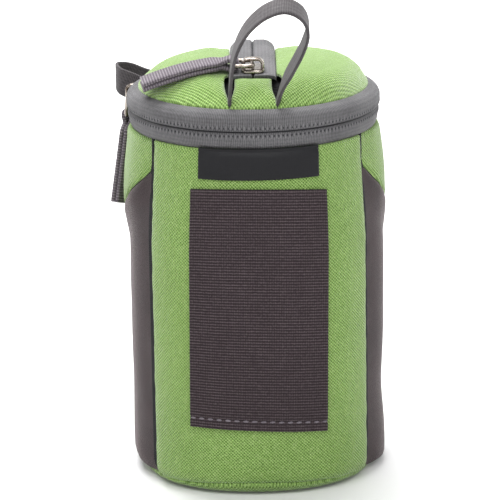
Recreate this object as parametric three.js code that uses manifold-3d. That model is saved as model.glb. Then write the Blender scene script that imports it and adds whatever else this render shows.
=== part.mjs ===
// A padded lens pouch: a round upright case sewn from fabric panels over foam, with a domed lid that
// closes with a zip round its rim, a second zip over the lid and down the back, and webbing loops.
// Millimetres, +Z up, the front of the pouch faces -Y, the origin is the middle of the base on the floor.
import * as THREE from "three";
import { mergeVertices } from "three/addons/utils/BufferGeometryUtils.js";
import Module from "manifold-3d";

const wasm = await Module();
wasm.setup();

// Overall sizes
const bodyRadius = 50; // outside of the padded body
const bandInset = 0.5; // the zip band is this much slimmer than the body
const seamHeight = 147; // height of the lid's zip line
const baseCorner = 8.5; // rounding between the base and the wall
const baseSeam = 4.5; // height where the base panel meets the wall panels
const planExponent = 2.25; // the body is slightly squarer than a circle, which is 2
const squareFade = 45; // height below the band over which the body becomes round

// Layers of the wall
const fabric = 1;
const foam = 4.5;
const lining = 0.8;
const gap = 0.3; // clearance between sewn layers and between neighbouring panels
const paddingDrop = 5; // the padding stops this far below the zip line

// Seams of the wall, as angles from the front in degrees
const frontSeam = 56;
const frontTurn = 2.6; // the front panel sits turned this far towards +X
const backSeam = 124;
const sideSeamFront = 130; // height of the side panel at the front seam
const sideSeamDrop = 34; // how far its upper edge falls towards the back seam
const sideSeamBend = 1.6;
const shoulderBulge = 2; // how far the shoulder panels puff out
const seamPuff = 0.28; // share of the puff's arch that lies below their lower seam

// Lid
const lidShoulderInset = 3; // the lid's rim draws in by this much over the band's height
const lidBandStraight = 3.5; // upright part of the upper band
const upperTapeWidth = 7.6; // height of the upper band
const lidCrown = 9.4; // rise of the top above the rim
const crownPower = 4.5;
const lidPadDrop = 3.2; // the pad's flat underside lies this far below the rim
const lidPadInset = 2.2;

// Zips
const lowerTapeWidth = 6.4; // height of the lower band
const zipGap = 1; // slit between two tapes
const tape = 0.9; // thickness of a tape
const coil = 1.4; // width and thickness of a coil
const zipEnd = 150; // angle where the band zip gives way to the hinge
const coilStart = -126; // angle of the zip's closed end
const stripHalf = 9; // half width of the strip that holds the back zip
const zipFront = 27; // the back zip starts this far in front of the lid's middle
const crestBack = 28; // its tapes run straight to this far behind the middle
const crestFrontRise = 0.3; // their front end stands this far above the lid
const crestClimb = 2.6; // and they climb by this much over the straight run
const crestPower = 2.2; // roundness of their fall from there to the rim
const crestFlatHalf = 6.5; // half width of the tapes' flat top
const backZipFoot = 13; // height where the back zip ends
const stop = 2; // length of an end stop

// Sliders and pullers
const sliderLength = 12;
const sliderWidth = 9;
const wing = 1.2; // thickness of a slider's plates
const sliderClearance = 0.5;
const post = 0.5; // width of the web between a slider's plates
const bridgeBar = 1;
const bridgeWidth = 3;
const linkWire = 1.4;
const linkPlay = 0.4; // clearance of the link in the bridge's window
const linkLength = 9.5;
const tabWebbing = 1.5; // one layer of a puller's folded webbing
const tabWidth = 11.5;
const tabNeck = 6.5; // its width where it passes through the link
const tabLength = 36;
const tabSteps = 36;
const bandSliderAngle = -113;
const topSliderBack = 7.5; // the slider's middle lies this far behind the zip's front end
const topTabDrift = 4; // the top puller's end lies this far forward
const topTabDroop = 7.2; // and this far down over the lid's edge
const topTabBend = 1.6; // along a curve of this power
const topTabRoll = 3; // its front edge dips by this turn, degrees
const bandPullLean = 6; // outward lean of the hanging puller, degrees
const bandTabDrift = 9; // forward drift of its end
const bandTabTuck = 2; // its end lies this far back in towards the wall

// Webbing
const webbing = 1.2;
const loopWidth = 11;
const loopNeck = 5; // width of the carry loop where it is sewn in
const loopPlay = 1.3; // clearance round its sewn ends
const loopLean = 20; // forward lean of the carry loop, degrees
const loopSetback = 4.6; // sewn ends of the carry loop behind the lid's rim
const loopSink = 1.1; // depth of the sewn ends below the surface
const sideLoopAngle = -134;
const sideLoopHeading = -104;
const sideLoopReach = 20;
const sideLoopHalf = 6.5;
const sideLoopTilt = 20;
const sideLoopSpread = 9; // half the angle between its sewn ends
const sideLoopStandoff = 3.2; // its roots stand this far out from the band
const sideLoopSteps = 22;
const loopSteps = 36;
const frontWebbingWidth = 54;
const frontWebbingLow = 27;
const frontWebbingHigh = 123.4;
const frontWebbingAside = 1; // its middle lies this far to the right
const labelWidth = 48;
const labelAside = 1.8;
const labelHeight = 11.5;
const label = 0.8; // thickness of the label

// Heights and radii worked out from the sizes above
const bandRadius = bodyRadius - bandInset;
const lowerTapeTop = seamHeight - zipGap / 2;
const upperTapeLow = seamHeight + zipGap / 2;
const panelTop = lowerTapeTop - lowerTapeWidth - gap;
const paddingTop = seamHeight - paddingDrop;
const rimHeight = upperTapeLow + upperTapeWidth;
const rimRadius = bandRadius - lidShoulderInset;
const foamOuter = fabric + gap;
const foamInner = foamOuter + foam;
const liningOuter = foamInner + gap;
const liningInner = liningOuter + lining;
const hingeStart = zipEnd + THREE.MathUtils.radToDeg(gap / bandRadius);
const stripAngle = 180 - THREE.MathUtils.radToDeg((stripHalf + gap) / bandRadius);
const lidStripAngle = 180 - THREE.MathUtils.radToDeg((stripHalf + gap) / (rimRadius - tape));
const panelGap = THREE.MathUtils.radToDeg(gap / bodyRadius) / 2;
const angleStep = 6;
const turnSteps = 48;
const paddingStep = 10;
const cornerRows = 3;
const wallRows = 5;

const { degToRad, lerp, smoothstep } = THREE.MathUtils;

const colours = {
  green: 0x86ab5a,
  sideGrey: 0x6e6868,
  bandGrey: 0x6b6b6c,
  webbingGrey: 0x4a4143,
  loopGrey: 0x57555a,
  label: 0x2e2f30,
  foam: 0x3a3a3c,
  lining: 0x8c8d8f,
  coil: 0x3c3c3e,
  metal: 0xc9c4bd,
};

function material(colour, roughness = 0.9, metalness = 0) {
  return new THREE.MeshStandardMaterial({ color: colours[colour], roughness, metalness });
}

// Solids

// A closed geometry from vertices and triangles, turned so that its faces point out.
function closedGeometry(points, triangles) {
  let volume = 0;
  const normal = new THREE.Vector3();
  for (const [a, b, c] of triangles) {
    volume += points[a].dot(normal.crossVectors(points[b], points[c]));
  }
  const index = triangles.flatMap(([a, b, c]) => (volume < 0 ? [a, c, b] : [a, b, c]));
  const geometry = new THREE.BufferGeometry().setFromPoints(points);
  geometry.setIndex(index);
  return geometry;
}

// A solid through a row of sections with equally many points. Each section lists one side and then
// the other side backwards, so that the end caps are strips between the two sides.
function loft(sections, ring = false) {
  const count = sections[0].length;
  const triangles = [];
  const quad = (a, b, c, d) => triangles.push([a, b, c], [a, c, d]);
  const spans = ring ? sections.length : sections.length - 1;
  for (let i = 0; i < spans; i++) {
    const here = i * count;
    const next = ((i + 1) % sections.length) * count;
    for (let j = 0; j < count; j++) {
      const k = (j + 1) % count;
      quad(here + j, here + k, next + k, next + j);
    }
  }
  if (!ring) {
    const last = (sections.length - 1) * count;
    for (let j = 0; j < count / 2 - 1; j++) {
      quad(count - 1 - j, count - 2 - j, j + 1, j);
      quad(last + j, last + j + 1, last + count - 2 - j, last + count - 1 - j);
    }
  }
  return closedGeometry(sections.flat(), triangles);
}

// A manifold solid from a three.js geometry, and back.
function toSolid(geometry) {
  const bare = geometry.clone();
  bare.deleteAttribute("normal");
  bare.deleteAttribute("uv");
  const merged = mergeVertices(bare, 1e-4);
  return new wasm.Manifold(
    new wasm.Mesh({
      numProp: 3,
      vertProperties: merged.attributes.position.array,
      triVerts: new Uint32Array(merged.index.array),
    }),
  );
}

function fromSolid(solid) {
  const mesh = solid.getMesh();
  const geometry = new THREE.BufferGeometry();
  geometry.setAttribute("position", new THREE.BufferAttribute(mesh.vertProperties, 3));
  geometry.setIndex(new THREE.BufferAttribute(mesh.triVerts, 1));
  return geometry;
}

// A box between two corners.
function box(low, high) {
  const size = high.map((value, axis) => value - low[axis]);
  const middle = high.map((value, axis) => (value + low[axis]) / 2);
  return new THREE.BoxGeometry(...size).translate(...middle);
}

function join(...geometries) {
  const [first, ...rest] = geometries.map(toSolid);
  return fromSolid(rest.reduce((sum, solid) => sum.add(solid), first));
}

function cut(geometry, ...cutters) {
  return fromSolid(cutters.reduce((left, cutter) => left.subtract(toSolid(cutter)), toSolid(geometry)));
}

function common(geometry, other) {
  return fromSolid(toSolid(geometry).intersect(toSolid(other)));
}

// A flat strap along a curve: width runs along the given direction at each point.
function strap(curve, steps, thickness, widthAt, directionAt) {
  const sections = [];
  for (let i = 0; i <= steps; i++) {
    const t = i / steps;
    const point = curve.getPointAt(t);
    const along = curve.getTangentAt(t);
    const across = directionAt(t).clone().addScaledVector(along, -directionAt(t).dot(along)).normalize();
    const out = new THREE.Vector3().crossVectors(along, across).multiplyScalar(thickness / 2);
    across.multiplyScalar(widthAt(t) / 2);
    sections.push([
      point.clone().add(out).sub(across),
      point.clone().add(out).add(across),
      point.clone().sub(out).add(across),
      point.clone().sub(out).sub(across),
    ]);
  }
  return loft(sections);
}

// Shape of the body and the lid

// The point at an angle from the front, in degrees.
function around(radius, angle, z) {
  return new THREE.Vector3(radius * Math.sin(degToRad(angle)), -radius * Math.cos(degToRad(angle)), z);
}

// How far the plan swells towards its corners at a height.
function planSwell(angle, z) {
  const across = Math.abs(Math.sin(degToRad(angle))) ** planExponent;
  const ahead = Math.abs(Math.cos(degToRad(angle))) ** planExponent;
  const square = (across + ahead) ** (-1 / planExponent);
  return 1 + (square - 1) * (1 - smoothstep(z, panelTop - squareFade, panelTop));
}

// Radius of the body at a depth below its outside.
function bodyProfile(z, depth) {
  const waist = bandInset * smoothstep(z, panelTop - squareFade, panelTop);
  if (z >= baseCorner) return bodyRadius - depth - waist;
  const reach = (baseCorner - depth) ** 2 - (baseCorner - z) ** 2;
  return bodyRadius - baseCorner + Math.sqrt(Math.max(reach, 0));
}

function wallPoint(angle, z, depth) {
  return around(bodyProfile(z, depth) * planSwell(angle, z), angle, z);
}

// Radius of the lid's band at a height.
function upperBandRadius(z) {
  const start = upperTapeLow + lidBandStraight;
  const share = Math.max(0, (z - start) / (rimHeight - start));
  return bandRadius - lidShoulderInset * share ** 2;
}

function crownHeight(radius) {
  return rimHeight + lidCrown * (1 - (Math.min(radius, rimRadius) / rimRadius) ** crownPower);
}

// Angle between the middle and the front panel's edge, on the side of a sign.
function frontEdge(sign) {
  return frontSeam + sign * frontTurn;
}

// Upper edge of a side panel at an angle.
function sideSeamHeight(angle) {
  const edge = frontEdge(Math.sign(angle));
  const share = (Math.abs(angle) - edge) / (backSeam - edge);
  return sideSeamFront - sideSeamDrop * (1 - (1 - share) ** sideSeamBend);
}

function range(from, to, step) {
  const count = Math.max(1, Math.ceil(Math.abs(to - from) / step - 1e-6));
  return Array.from({ length: count + 1 }, (_, i) => lerp(from, to, i / count));
}

// Heights for the rows of a wall panel, closer together in the rounded corner of the base.
function wallHeights(low, high) {
  if (low >= baseCorner) return range(0, 1, 1 / wallRows).map((share) => lerp(low, high, share));
  const corner = range(0, 1, 1 / cornerRows).map((share) => lerp(low, baseCorner, share));
  const straight = range(0, 1, 1 / wallRows).map((share) => lerp(baseCorner, high, share));
  return [...corner, ...straight.slice(1)];
}

const flush = () => 0;

// A curved slab of the wall between two angles and between two edges given as heights over the angle.
function wallSlab(from, to, low, high, outer, inner, push = flush, step = angleStep) {
  const sections = range(from, to, step).map((angle) => {
    const heights = wallHeights(low(angle), high(angle));
    const side = (depth) =>
      heights.map((z, i) => wallPoint(angle, z, depth - push(angle, i / (heights.length - 1))));
    return [...side(outer), ...side(inner).reverse()];
  });
  return loft(sections);
}

// A slab between two profiles of the round zip band.
function bandSlab(from, to, heights, outer, inner, step = angleStep) {
  const sections = range(from, to, step).map((angle) => [
    ...heights.map((z) => around(outer(z), angle, z)),
    ...[...heights].reverse().map((z) => around(inner(z), angle, z)),
  ]);
  return loft(sections);
}

// A disc that fills the body's outline at each height of a profile of [radius, height] points,
// which starts and ends on the axis.
function planDisc(profile) {
  const sections = range(0, 360 - 2 * angleStep, 2 * angleStep).map((angle) =>
    profile.map(([radius, z]) => around(radius * planSwell(angle, z), angle, z)),
  );
  return loft(sections, true);
}

// A solid of revolution from a profile of [radius, height] points that starts and ends on the axis.
function revolve(profile) {
  const points = profile.map(([radius, z]) => new THREE.Vector2(radius, z));
  const turned = new THREE.LatheGeometry(points, turnSteps).rotateX(Math.PI / 2);
  turned.deleteAttribute("normal");
  turned.deleteAttribute("uv");
  const merged = mergeVertices(turned, 1e-4);
  const place = merged.attributes.position;
  const vertexAt = (_, i) => new THREE.Vector3().fromBufferAttribute(place, i);
  const vertices = Array.from({ length: place.count }, vertexAt);
  const triangles = [];
  for (let i = 0; i < merged.index.count; i += 3) {
    const corners = [0, 1, 2].map((k) => merged.index.getX(i + k));
    if (new Set(corners).size === 3) triangles.push(corners);
  }
  return closedGeometry(vertices, triangles);
}

const pouch = new THREE.Group();

function add(name, geometry, surface, parent = pouch) {
  const mesh = new THREE.Mesh(geometry, surface);
  mesh.name = name;
  parent.add(mesh);
  return mesh;
}

// Fabric panels of the body
const level = (height) => () => height;
const wallLow = baseSeam + gap;
const sides = [
  ["left", -1],
  ["right", 1],
];

add(
  "front_panel",
  wallSlab(panelGap - frontEdge(-1), frontEdge(1) - panelGap, level(wallLow), level(panelTop), 0, fabric),
  material("green"),
);
for (const [side, sign] of sides) {
  const sideFrom = sign * (frontEdge(sign) + panelGap);
  const sideTo = sign * (backSeam - panelGap);
  const bulgeAt = (angle) => {
    const across = Math.sin(Math.PI * smoothstep(Math.abs(angle), frontEdge(sign), backSeam));
    return shoulderBulge * Math.sqrt(Math.max(across, 0));
  };
  const puff = (angle, share) => bulgeAt(angle) * Math.sin(Math.PI * lerp(seamPuff, 1, share));
  const lift = (angle, share) => bulgeAt(angle) * Math.sin(Math.PI * seamPuff) * smoothstep(share, 0.8, 1);
  add(
    `${side}_side_panel`,
    wallSlab(sideFrom, sideTo, level(wallLow), (angle) => sideSeamHeight(angle) - gap, 0, fabric, lift),
    material("sideGrey", 0.7),
  );
  add(
    `${side}_shoulder_panel`,
    wallSlab(sideFrom, sideTo, sideSeamHeight, level(panelTop), 0, fabric, puff),
    material("green"),
  );
  add(
    `back_${side}_panel`,
    wallSlab(sign * (backSeam + panelGap), sign * stripAngle, level(wallLow), level(panelTop), 0, fabric),
    material("green"),
  );
}
const stripEdge = 180 - THREE.MathUtils.radToDeg(stripHalf / bandRadius);
add(
  "back_foot_panel",
  wallSlab(stripEdge, 360 - stripEdge, level(wallLow), level(backZipFoot - gap), 0, fabric),
  material("green"),
);

// Base: an outer dish, a foam disc and a lining disc
function cornerProfile(depth, top) {
  const heights = range(depth, top, (top - depth) / cornerRows);
  return heights.map((z) => [bodyProfile(z, depth), z]);
}
add(
  "base_panel",
  planDisc([
    [0, 0],
    ...cornerProfile(0, baseSeam),
    ...cornerProfile(fabric, baseSeam).reverse(),
    [0, fabric],
  ]),
  material("green"),
);
add(
  "base_foam",
  planDisc([[0, foamOuter], ...cornerProfile(foamOuter, foamInner), [0, foamInner]]),
  material("foam"),
);
const baseLiningRadius = bodyProfile(liningOuter, foamInner) - gap;
add(
  "base_lining",
  planDisc([
    [0, liningOuter],
    [baseLiningRadius, liningOuter],
    [baseLiningRadius, liningInner],
    [0, liningInner],
  ]),
  material("lining"),
);

// Padding and lining of the wall, open at the back behind the zip
const slotAngle = 180 - THREE.MathUtils.radToDeg((sliderWidth / 2 + 2 * sliderClearance) / bodyRadius);
function sleeve(low, outer, inner) {
  return wallSlab(-slotAngle, slotAngle, level(low), level(paddingTop), outer, inner, flush, paddingStep);
}
add("wall_foam", sleeve(liningOuter, foamOuter, foamInner), material("foam"));
add("wall_lining", sleeve(liningInner + gap, liningOuter, liningInner), material("lining"));

// The band zip: two tapes, their coils behind the slit and two end stops
const lowerBandHeights = range(panelTop + gap, lowerTapeTop, lowerTapeWidth / 2);
const upperBandHeights = [
  upperTapeLow,
  ...range(upperTapeLow + lidBandStraight, rimHeight, (upperTapeWidth - lidBandStraight) / 3),
];
const lowerBandRadius = () => bandRadius;
const inside = (profile, depth) => (z) => profile(z) - depth;
const lid = new THREE.Group();
pouch.add(lid);

add(
  "lower_zip_tape",
  bandSlab(-zipEnd, zipEnd, lowerBandHeights, lowerBandRadius, inside(lowerBandRadius, tape)),
  material("bandGrey"),
);
add(
  "upper_zip_tape",
  bandSlab(-zipEnd, zipEnd, upperBandHeights, upperBandRadius, inside(upperBandRadius, tape)),
  material("bandGrey"),
  lid,
);
const coilRadius = bandRadius - tape - gap;
function bandCoil(from, to, low) {
  return bandSlab(from, to, [low, low + coil], () => coilRadius, () => coilRadius - coil);
}
add("lower_zip_coil", bandCoil(coilStart, zipEnd, lowerTapeTop - coil), material("coil", 0.5));
add("upper_zip_coil", bandCoil(coilStart, zipEnd, upperTapeLow), material("coil", 0.5), lid);
const stopAngle = THREE.MathUtils.radToDeg(stop / coilRadius);
const stopGap = THREE.MathUtils.radToDeg(gap / coilRadius);
for (const [name, angle] of [
  ["band_zip_closed_stop", coilStart - stopGap - stopAngle],
  ["band_zip_open_stop", zipEnd + stopGap],
]) {
  add(name, bandCoil(angle, angle + stopAngle, lowerTapeTop - coil), material("metal", 0.35, 1));
}

// Fabric hinge at the back, a leaf above and a leaf below the zip line on each side of the back zip
for (const [side, sign] of sides) {
  const from = sign * hingeStart;
  const to = sign * stripAngle;
  add(
    `${side}_hinge_lower`,
    bandSlab(from, to, lowerBandHeights, lowerBandRadius, inside(lowerBandRadius, tape)),
    material("bandGrey"),
  );
  add(
    `${side}_hinge_upper`,
    bandSlab(from, sign * lidStripAngle, upperBandHeights, upperBandRadius, inside(upperBandRadius, tape)),
    material("bandGrey"),
    lid,
  );
}

// Lid: fabric top in three panels, a crowned pad and a lining disc
const crownRadii = range(0, rimRadius - tape - gap, rimRadius / 7);
const crownAt = (drop) => crownRadii.map((radius) => [radius, crownHeight(radius) - drop]);
const lidTop = revolve([...crownAt(0), ...crownAt(fabric).reverse()]);
const farAway = 2 * bodyRadius;
const sideOf = (sign) => {
  const edges = [sign * (stripHalf + gap), sign * farAway].sort((a, b) => a - b);
  return box([edges[0], -farAway, 0], [edges[1], farAway, 2 * seamHeight]);
};
const frontStrip = box([-stripHalf, -farAway, 0], [stripHalf, -zipFront - gap, 2 * seamHeight]);
const zipSlotHalf = sliderWidth / 2 + 2 * sliderClearance;
const zipSlot = box([-zipSlotHalf, -zipFront - gap, 0], [zipSlotHalf, farAway, 2 * seamHeight]);

// The carry loop is sewn into the seams beside the front strip, through a slot on each side.
const loopEnd = new THREE.Vector3(stripHalf + gap / 2, -rimRadius + loopSetback, 0);
loopEnd.z = crownHeight(Math.hypot(loopEnd.x, loopEnd.y));
const loopSlots = sides.map(([, sign]) => {
  const middle = [sign * loopEnd.x, loopEnd.y, loopEnd.z];
  const half = [webbing / 2 + loopPlay, loopNeck / 2 + 2 * loopPlay, loopNeck];
  const low = middle.map((value, axis) => value - half[axis]);
  const high = middle.map((value, axis) => value + half[axis]);
  return box(low, high);
});
for (const [side, sign] of sides) {
  add(`lid_${side}_panel`, cut(common(lidTop, sideOf(sign)), ...loopSlots), material("green"), lid);
}
add("lid_front_panel", cut(common(lidTop, frontStrip), ...loopSlots), material("green"), lid);
const padRadius = rimRadius - lidPadInset;
const padLow = rimHeight - lidPadDrop;
const padRadii = range(0, padRadius, padRadius / 5);
const padTop = padRadii.map((radius) => [radius, crownHeight(radius) - fabric - gap]);
add(
  "lid_foam",
  cut(revolve([...padTop, [padRadius, padLow], [0, padLow]]), zipSlot, ...loopSlots),
  material("foam"),
  lid,
);
add(
  "lid_lining",
  cut(
    revolve([
      [0, padLow - gap],
      [padRadius, padLow - gap],
      [padRadius, padLow - gap - lining],
      [0, padLow - gap - lining],
    ]),
    zipSlot,
  ),
  material("lining"),
  lid,
);

// The back zip: its tapes run up the back, over the rim and along the middle of the lid, where they
// stand up in a crest that climbs towards the back.
const crestFront = crownHeight(zipFront) + crestFrontRise;
const crestSlope = crestClimb / (crestBack + zipFront);

function crestHeight(y) {
  if (y <= crestBack) return crestFront + crestSlope * (y + zipFront);
  const share = (y - crestBack) / (rimRadius - crestBack);
  return rimHeight + (crestFront + crestClimb - rimHeight) * (1 - share ** crestPower);
}

// The path over the lid as [y, z, fall], where fall is how far the sewn edges lie below the middle.
function lidPath(front, low = upperTapeLow) {
  const rim = range(low, rimHeight, upperTapeWidth / 5).map((z) => [upperBandRadius(z), z, 0]);
  const falling = range(rimRadius, crestBack, (rimRadius - crestBack) / 5).slice(1);
  const straight = range(crestBack, -front, crestBack / 4).slice(1);
  const top = [...falling, ...straight].map((y) => {
    const share = Math.min(1, (rimRadius - y) / (rimRadius - crestBack));
    const fall = crestHeight(y) - crownHeight(Math.hypot(stripHalf, y));
    return [y, crestHeight(y), share * Math.max(fall, 0)];
  });
  return [...rim, ...top];
}

// A strip along a path, between two depths. Across, it has points at [distance, share of the fall].
function middleStrip(path, across, outer, inner) {
  const sections = path.map(([y, z, fall], i) => {
    const [y0, z0] = path[Math.max(i - 1, 0)];
    const [y1, z1] = path[Math.min(i + 1, path.length - 1)];
    const length = Math.hypot(y1 - y0, z1 - z0);
    const inward = [(z0 - z1) / length, (y1 - y0) / length];
    const side = (depth) =>
      across.map(([x, share]) =>
        new THREE.Vector3(x, y + inward[0] * depth, z + inward[1] * depth - fall * share),
      );
    return [...side(outer), ...side(inner).reverse()];
  });
  return loft(sections);
}
const backPath = (low, high) => wallHeights(low, high).map((z) => [bodyProfile(z, 0), z, 0]);
const backCoilLow = backZipFoot + stop + 2 * gap;
const coilDepth = tape + gap;
const coilInner = coilDepth + coil;
const slit = zipGap / 2;
for (const [side, sign] of sides) {
  const tapeAcross = [
    [sign * slit, 0],
    [sign * crestFlatHalf, 0],
    [sign * stripHalf, 1],
  ];
  const coilAcross = tapeAcross.slice(0, 1).concat([[sign * (slit + coil), 0]]);
  const backTape = middleStrip(backPath(backZipFoot, lowerTapeTop), tapeAcross, 0, tape);
  const backCoil = middleStrip(backPath(backCoilLow, lowerTapeTop), coilAcross, coilDepth, coilInner);
  const lidTape = middleStrip(lidPath(zipFront), tapeAcross, 0, tape);
  const lidCoil = middleStrip(lidPath(zipFront - stop - 2 * gap), coilAcross, coilDepth, coilInner);
  add(`back_zip_tape_${side}`, backTape, material("bandGrey"));
  add(`back_zip_coil_${side}`, backCoil, material("coil", 0.5));
  add(`lid_zip_tape_${side}`, lidTape, material("bandGrey"), lid);
  add(`lid_zip_coil_${side}`, lidCoil, material("coil", 0.5), lid);
}
const stopAcross = [
  [-slit - coil, 0],
  [slit + coil, 0],
];
const footStop = backPath(backZipFoot + gap, backZipFoot + gap + stop);
const frontStop = [zipFront - gap - stop, zipFront - gap].map((front) => lidPath(front).at(-1));
for (const [name, path, parent] of [
  ["back_zip_foot_stop", footStop, pouch],
  ["lid_zip_front_stop", frontStop, lid],
]) {
  add(name, middleStrip(path, stopAcross, coilDepth, coilInner), material("metal", 0.35, 1), parent);
}

// Sliders: two plates joined by a thin web that runs in the slit, with a bridge for the puller.
// In the slider's own frame X runs across the tapes, Y along the zip and Z out of the fabric,
// and the outer face of the tapes is at zero.
const lowPlate = -(tape + gap + coil + 2 * sliderClearance);
const plateTop = sliderClearance + wing;
const bridgeEnd = sliderWidth / 2 - gap;
const bridgeWindow = linkWire + 2 * linkPlay;
const pivotHeight = plateTop + linkPlay + bridgeWindow / 2;

function plate(low) {
  const outline = new THREE.Shape();
  const half = sliderWidth / 2;
  const end = sliderLength / 2;
  const nose = half / 2;
  outline.moveTo(-nose, -end);
  outline.lineTo(nose, -end);
  outline.quadraticCurveTo(half, -end, half, -end / 4);
  outline.lineTo(half, end);
  outline.lineTo(-half, end);
  outline.lineTo(-half, -end / 4);
  outline.quadraticCurveTo(-half, -end, -nose, -end);
  const shape = new THREE.ExtrudeGeometry(outline, { depth: wing, bevelEnabled: false, curveSegments: 4 });
  return shape.translate(0, 0, low);
}

function slider() {
  const web = box(
    [-post / 2, sliderLength / 4, lowPlate - wing / 2],
    [post / 2, sliderLength / 2 - gap, plateTop - wing / 2],
  );
  const archTop = pivotHeight + bridgeWindow / 2 + bridgeBar;
  const arch = new THREE.Shape();
  arch.moveTo(-bridgeEnd, plateTop - gap);
  arch.lineTo(bridgeEnd, plateTop - gap);
  arch.lineTo(bridgeEnd, archTop - bridgeBar);
  arch.quadraticCurveTo(bridgeEnd, archTop, bridgeEnd - 2 * bridgeBar, archTop);
  arch.lineTo(-bridgeEnd + 2 * bridgeBar, archTop);
  arch.quadraticCurveTo(-bridgeEnd, archTop, -bridgeEnd, archTop - bridgeBar);
  arch.closePath();
  const eye = bridgeEnd - bridgeBar;
  const opening = new THREE.Path();
  opening.moveTo(-eye, pivotHeight - bridgeWindow / 2);
  opening.lineTo(-eye, pivotHeight + bridgeWindow / 2);
  opening.lineTo(eye, pivotHeight + bridgeWindow / 2);
  opening.lineTo(eye, pivotHeight - bridgeWindow / 2);
  opening.closePath();
  arch.holes.push(opening);
  const solid = { depth: bridgeWidth, bevelEnabled: false, curveSegments: 4 };
  const bridge = new THREE.ExtrudeGeometry(arch, solid);
  bridge.rotateX(Math.PI / 2).translate(0, bridgeWidth / 2, 0);
  return join(plate(lowPlate - wing), plate(sliderClearance), web, bridge);
}

// A puller: a wire link through the bridge and a strip of webbing folded round the link's far bar.
// In the puller's own frame the link's near bar lies along Y at the origin and the link runs along -X.
const farBar = linkLength - linkWire;
const linkWidth = tabNeck + 2 * linkWire + 2 * linkPlay;

function ringOutline(length, width) {
  return [
    new THREE.Vector2(-length + linkWire / 2, -width / 2),
    new THREE.Vector2(linkWire / 2, -width / 2),
    new THREE.Vector2(linkWire / 2, width / 2),
    new THREE.Vector2(-length + linkWire / 2, width / 2),
  ];
}

function link() {
  const outline = new THREE.Shape(ringOutline(linkLength, linkWidth));
  const opening = ringOutline(linkLength - 2 * linkWire, linkWidth - 2 * linkWire);
  outline.holes.push(new THREE.Path(opening.map((point) => point.sub(new THREE.Vector2(linkWire, 0)))));
  const wire = new THREE.ExtrudeGeometry(outline, { depth: linkWire, bevelEnabled: false });
  return wire.translate(0, 0, -linkWire / 2);
}

const tabTurn = [-110, -60, 0, 60, 110]; // angles of the points of the fold round the far bar
const tabWiden = [0.14, 0.28]; // shares of each layer over which the tab widens from its neck
const tabRollRange = [0.2, 0.7]; // and over which it rolls

// The folded webbing: the lower layer, the fold round the far bar and the upper layer, as one strap.
// The middle of the tab follows the given bend, as [drift in Y, rise in Z] over its length.
function tab(bend, roll) {
  const eye = linkWire * Math.SQRT1_2 + gap + tabWebbing / 2;
  const apart = (tabWebbing + gap) / 2;
  const lengths = range(2 * eye, tabLength, (tabLength - 2 * eye) / 6);
  const layer = (offset) =>
    lengths.map((along) => {
      const [drift, rise] = bend((along - 2 * eye) / (tabLength - 2 * eye));
      return new THREE.Vector3(-farBar - along, drift, rise + offset);
    });
  const turn = tabTurn.map(
    (angle) =>
      new THREE.Vector3(
        -farBar + eye * Math.cos(degToRad(angle)),
        0,
        eye * Math.sin(degToRad(angle)),
      ),
  );
  const path = [...layer(-apart).reverse(), ...turn, ...layer(apart)];
  const curve = new THREE.CatmullRomCurve3(path, false, "centripetal");
  const fromFold = (t) => Math.abs(2 * t - 1);
  const width = (t) => lerp(tabNeck, tabWidth, smoothstep(fromFold(t), ...tabWiden));
  const across = (t) => {
    const turn = degToRad(roll) * smoothstep(fromFold(t), ...tabRollRange);
    return new THREE.Vector3(0, Math.cos(turn), Math.sin(turn));
  };
  return strap(curve, tabSteps, tabWebbing, width, across);
}

const metal = () => material("metal", 0.3, 1);

// The top slider rides on the middle of the lid, its puller lies to the left over the lid.
const topSliderY = -zipFront + topSliderBack;
const topSlider = new THREE.Group();
topSlider.position.set(0, topSliderY, crestHeight(topSliderY));
topSlider.rotation.x = Math.atan(crestSlope);
lid.add(topSlider);
add("top_zip_slider", slider(), metal(), topSlider);
const topPuller = new THREE.Group();
topPuller.position.set(0, 0, pivotHeight);
topSlider.add(topPuller);
add("top_pull_link", link(), metal(), topPuller);
const lidDroop = (share) => [-topTabDrift * share, -topTabDroop * share ** topTabBend];
add("top_pull_tab", tab(lidDroop, topTabRoll), material("loopGrey"), topPuller);

// The band slider rides round the zip line, its puller hangs down and leans out over the shoulder.
const bandSlider = new THREE.Group();
const outwards = around(1, bandSliderAngle, 0);
const upwards = new THREE.Vector3(0, 0, 1);
const alongZip = new THREE.Vector3().crossVectors(outwards, upwards);
bandSlider.setRotationFromMatrix(new THREE.Matrix4().makeBasis(upwards, alongZip, outwards));
bandSlider.position.copy(around(bandRadius, bandSliderAngle, seamHeight));
pouch.add(bandSlider);
add("band_zip_slider", slider(), metal(), bandSlider);
const bandPuller = new THREE.Group();
bandPuller.position.set(0, 0, pivotHeight);
bandPuller.rotation.y = degToRad(bandPullLean);
bandSlider.add(bandPuller);
add("band_pull_link", link(), metal(), bandPuller);
const hang = (share) => [-bandTabDrift * share, -bandTabTuck * share];
add("band_pull_tab", tab(hang, 0), material("loopGrey"), bandPuller);

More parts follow.
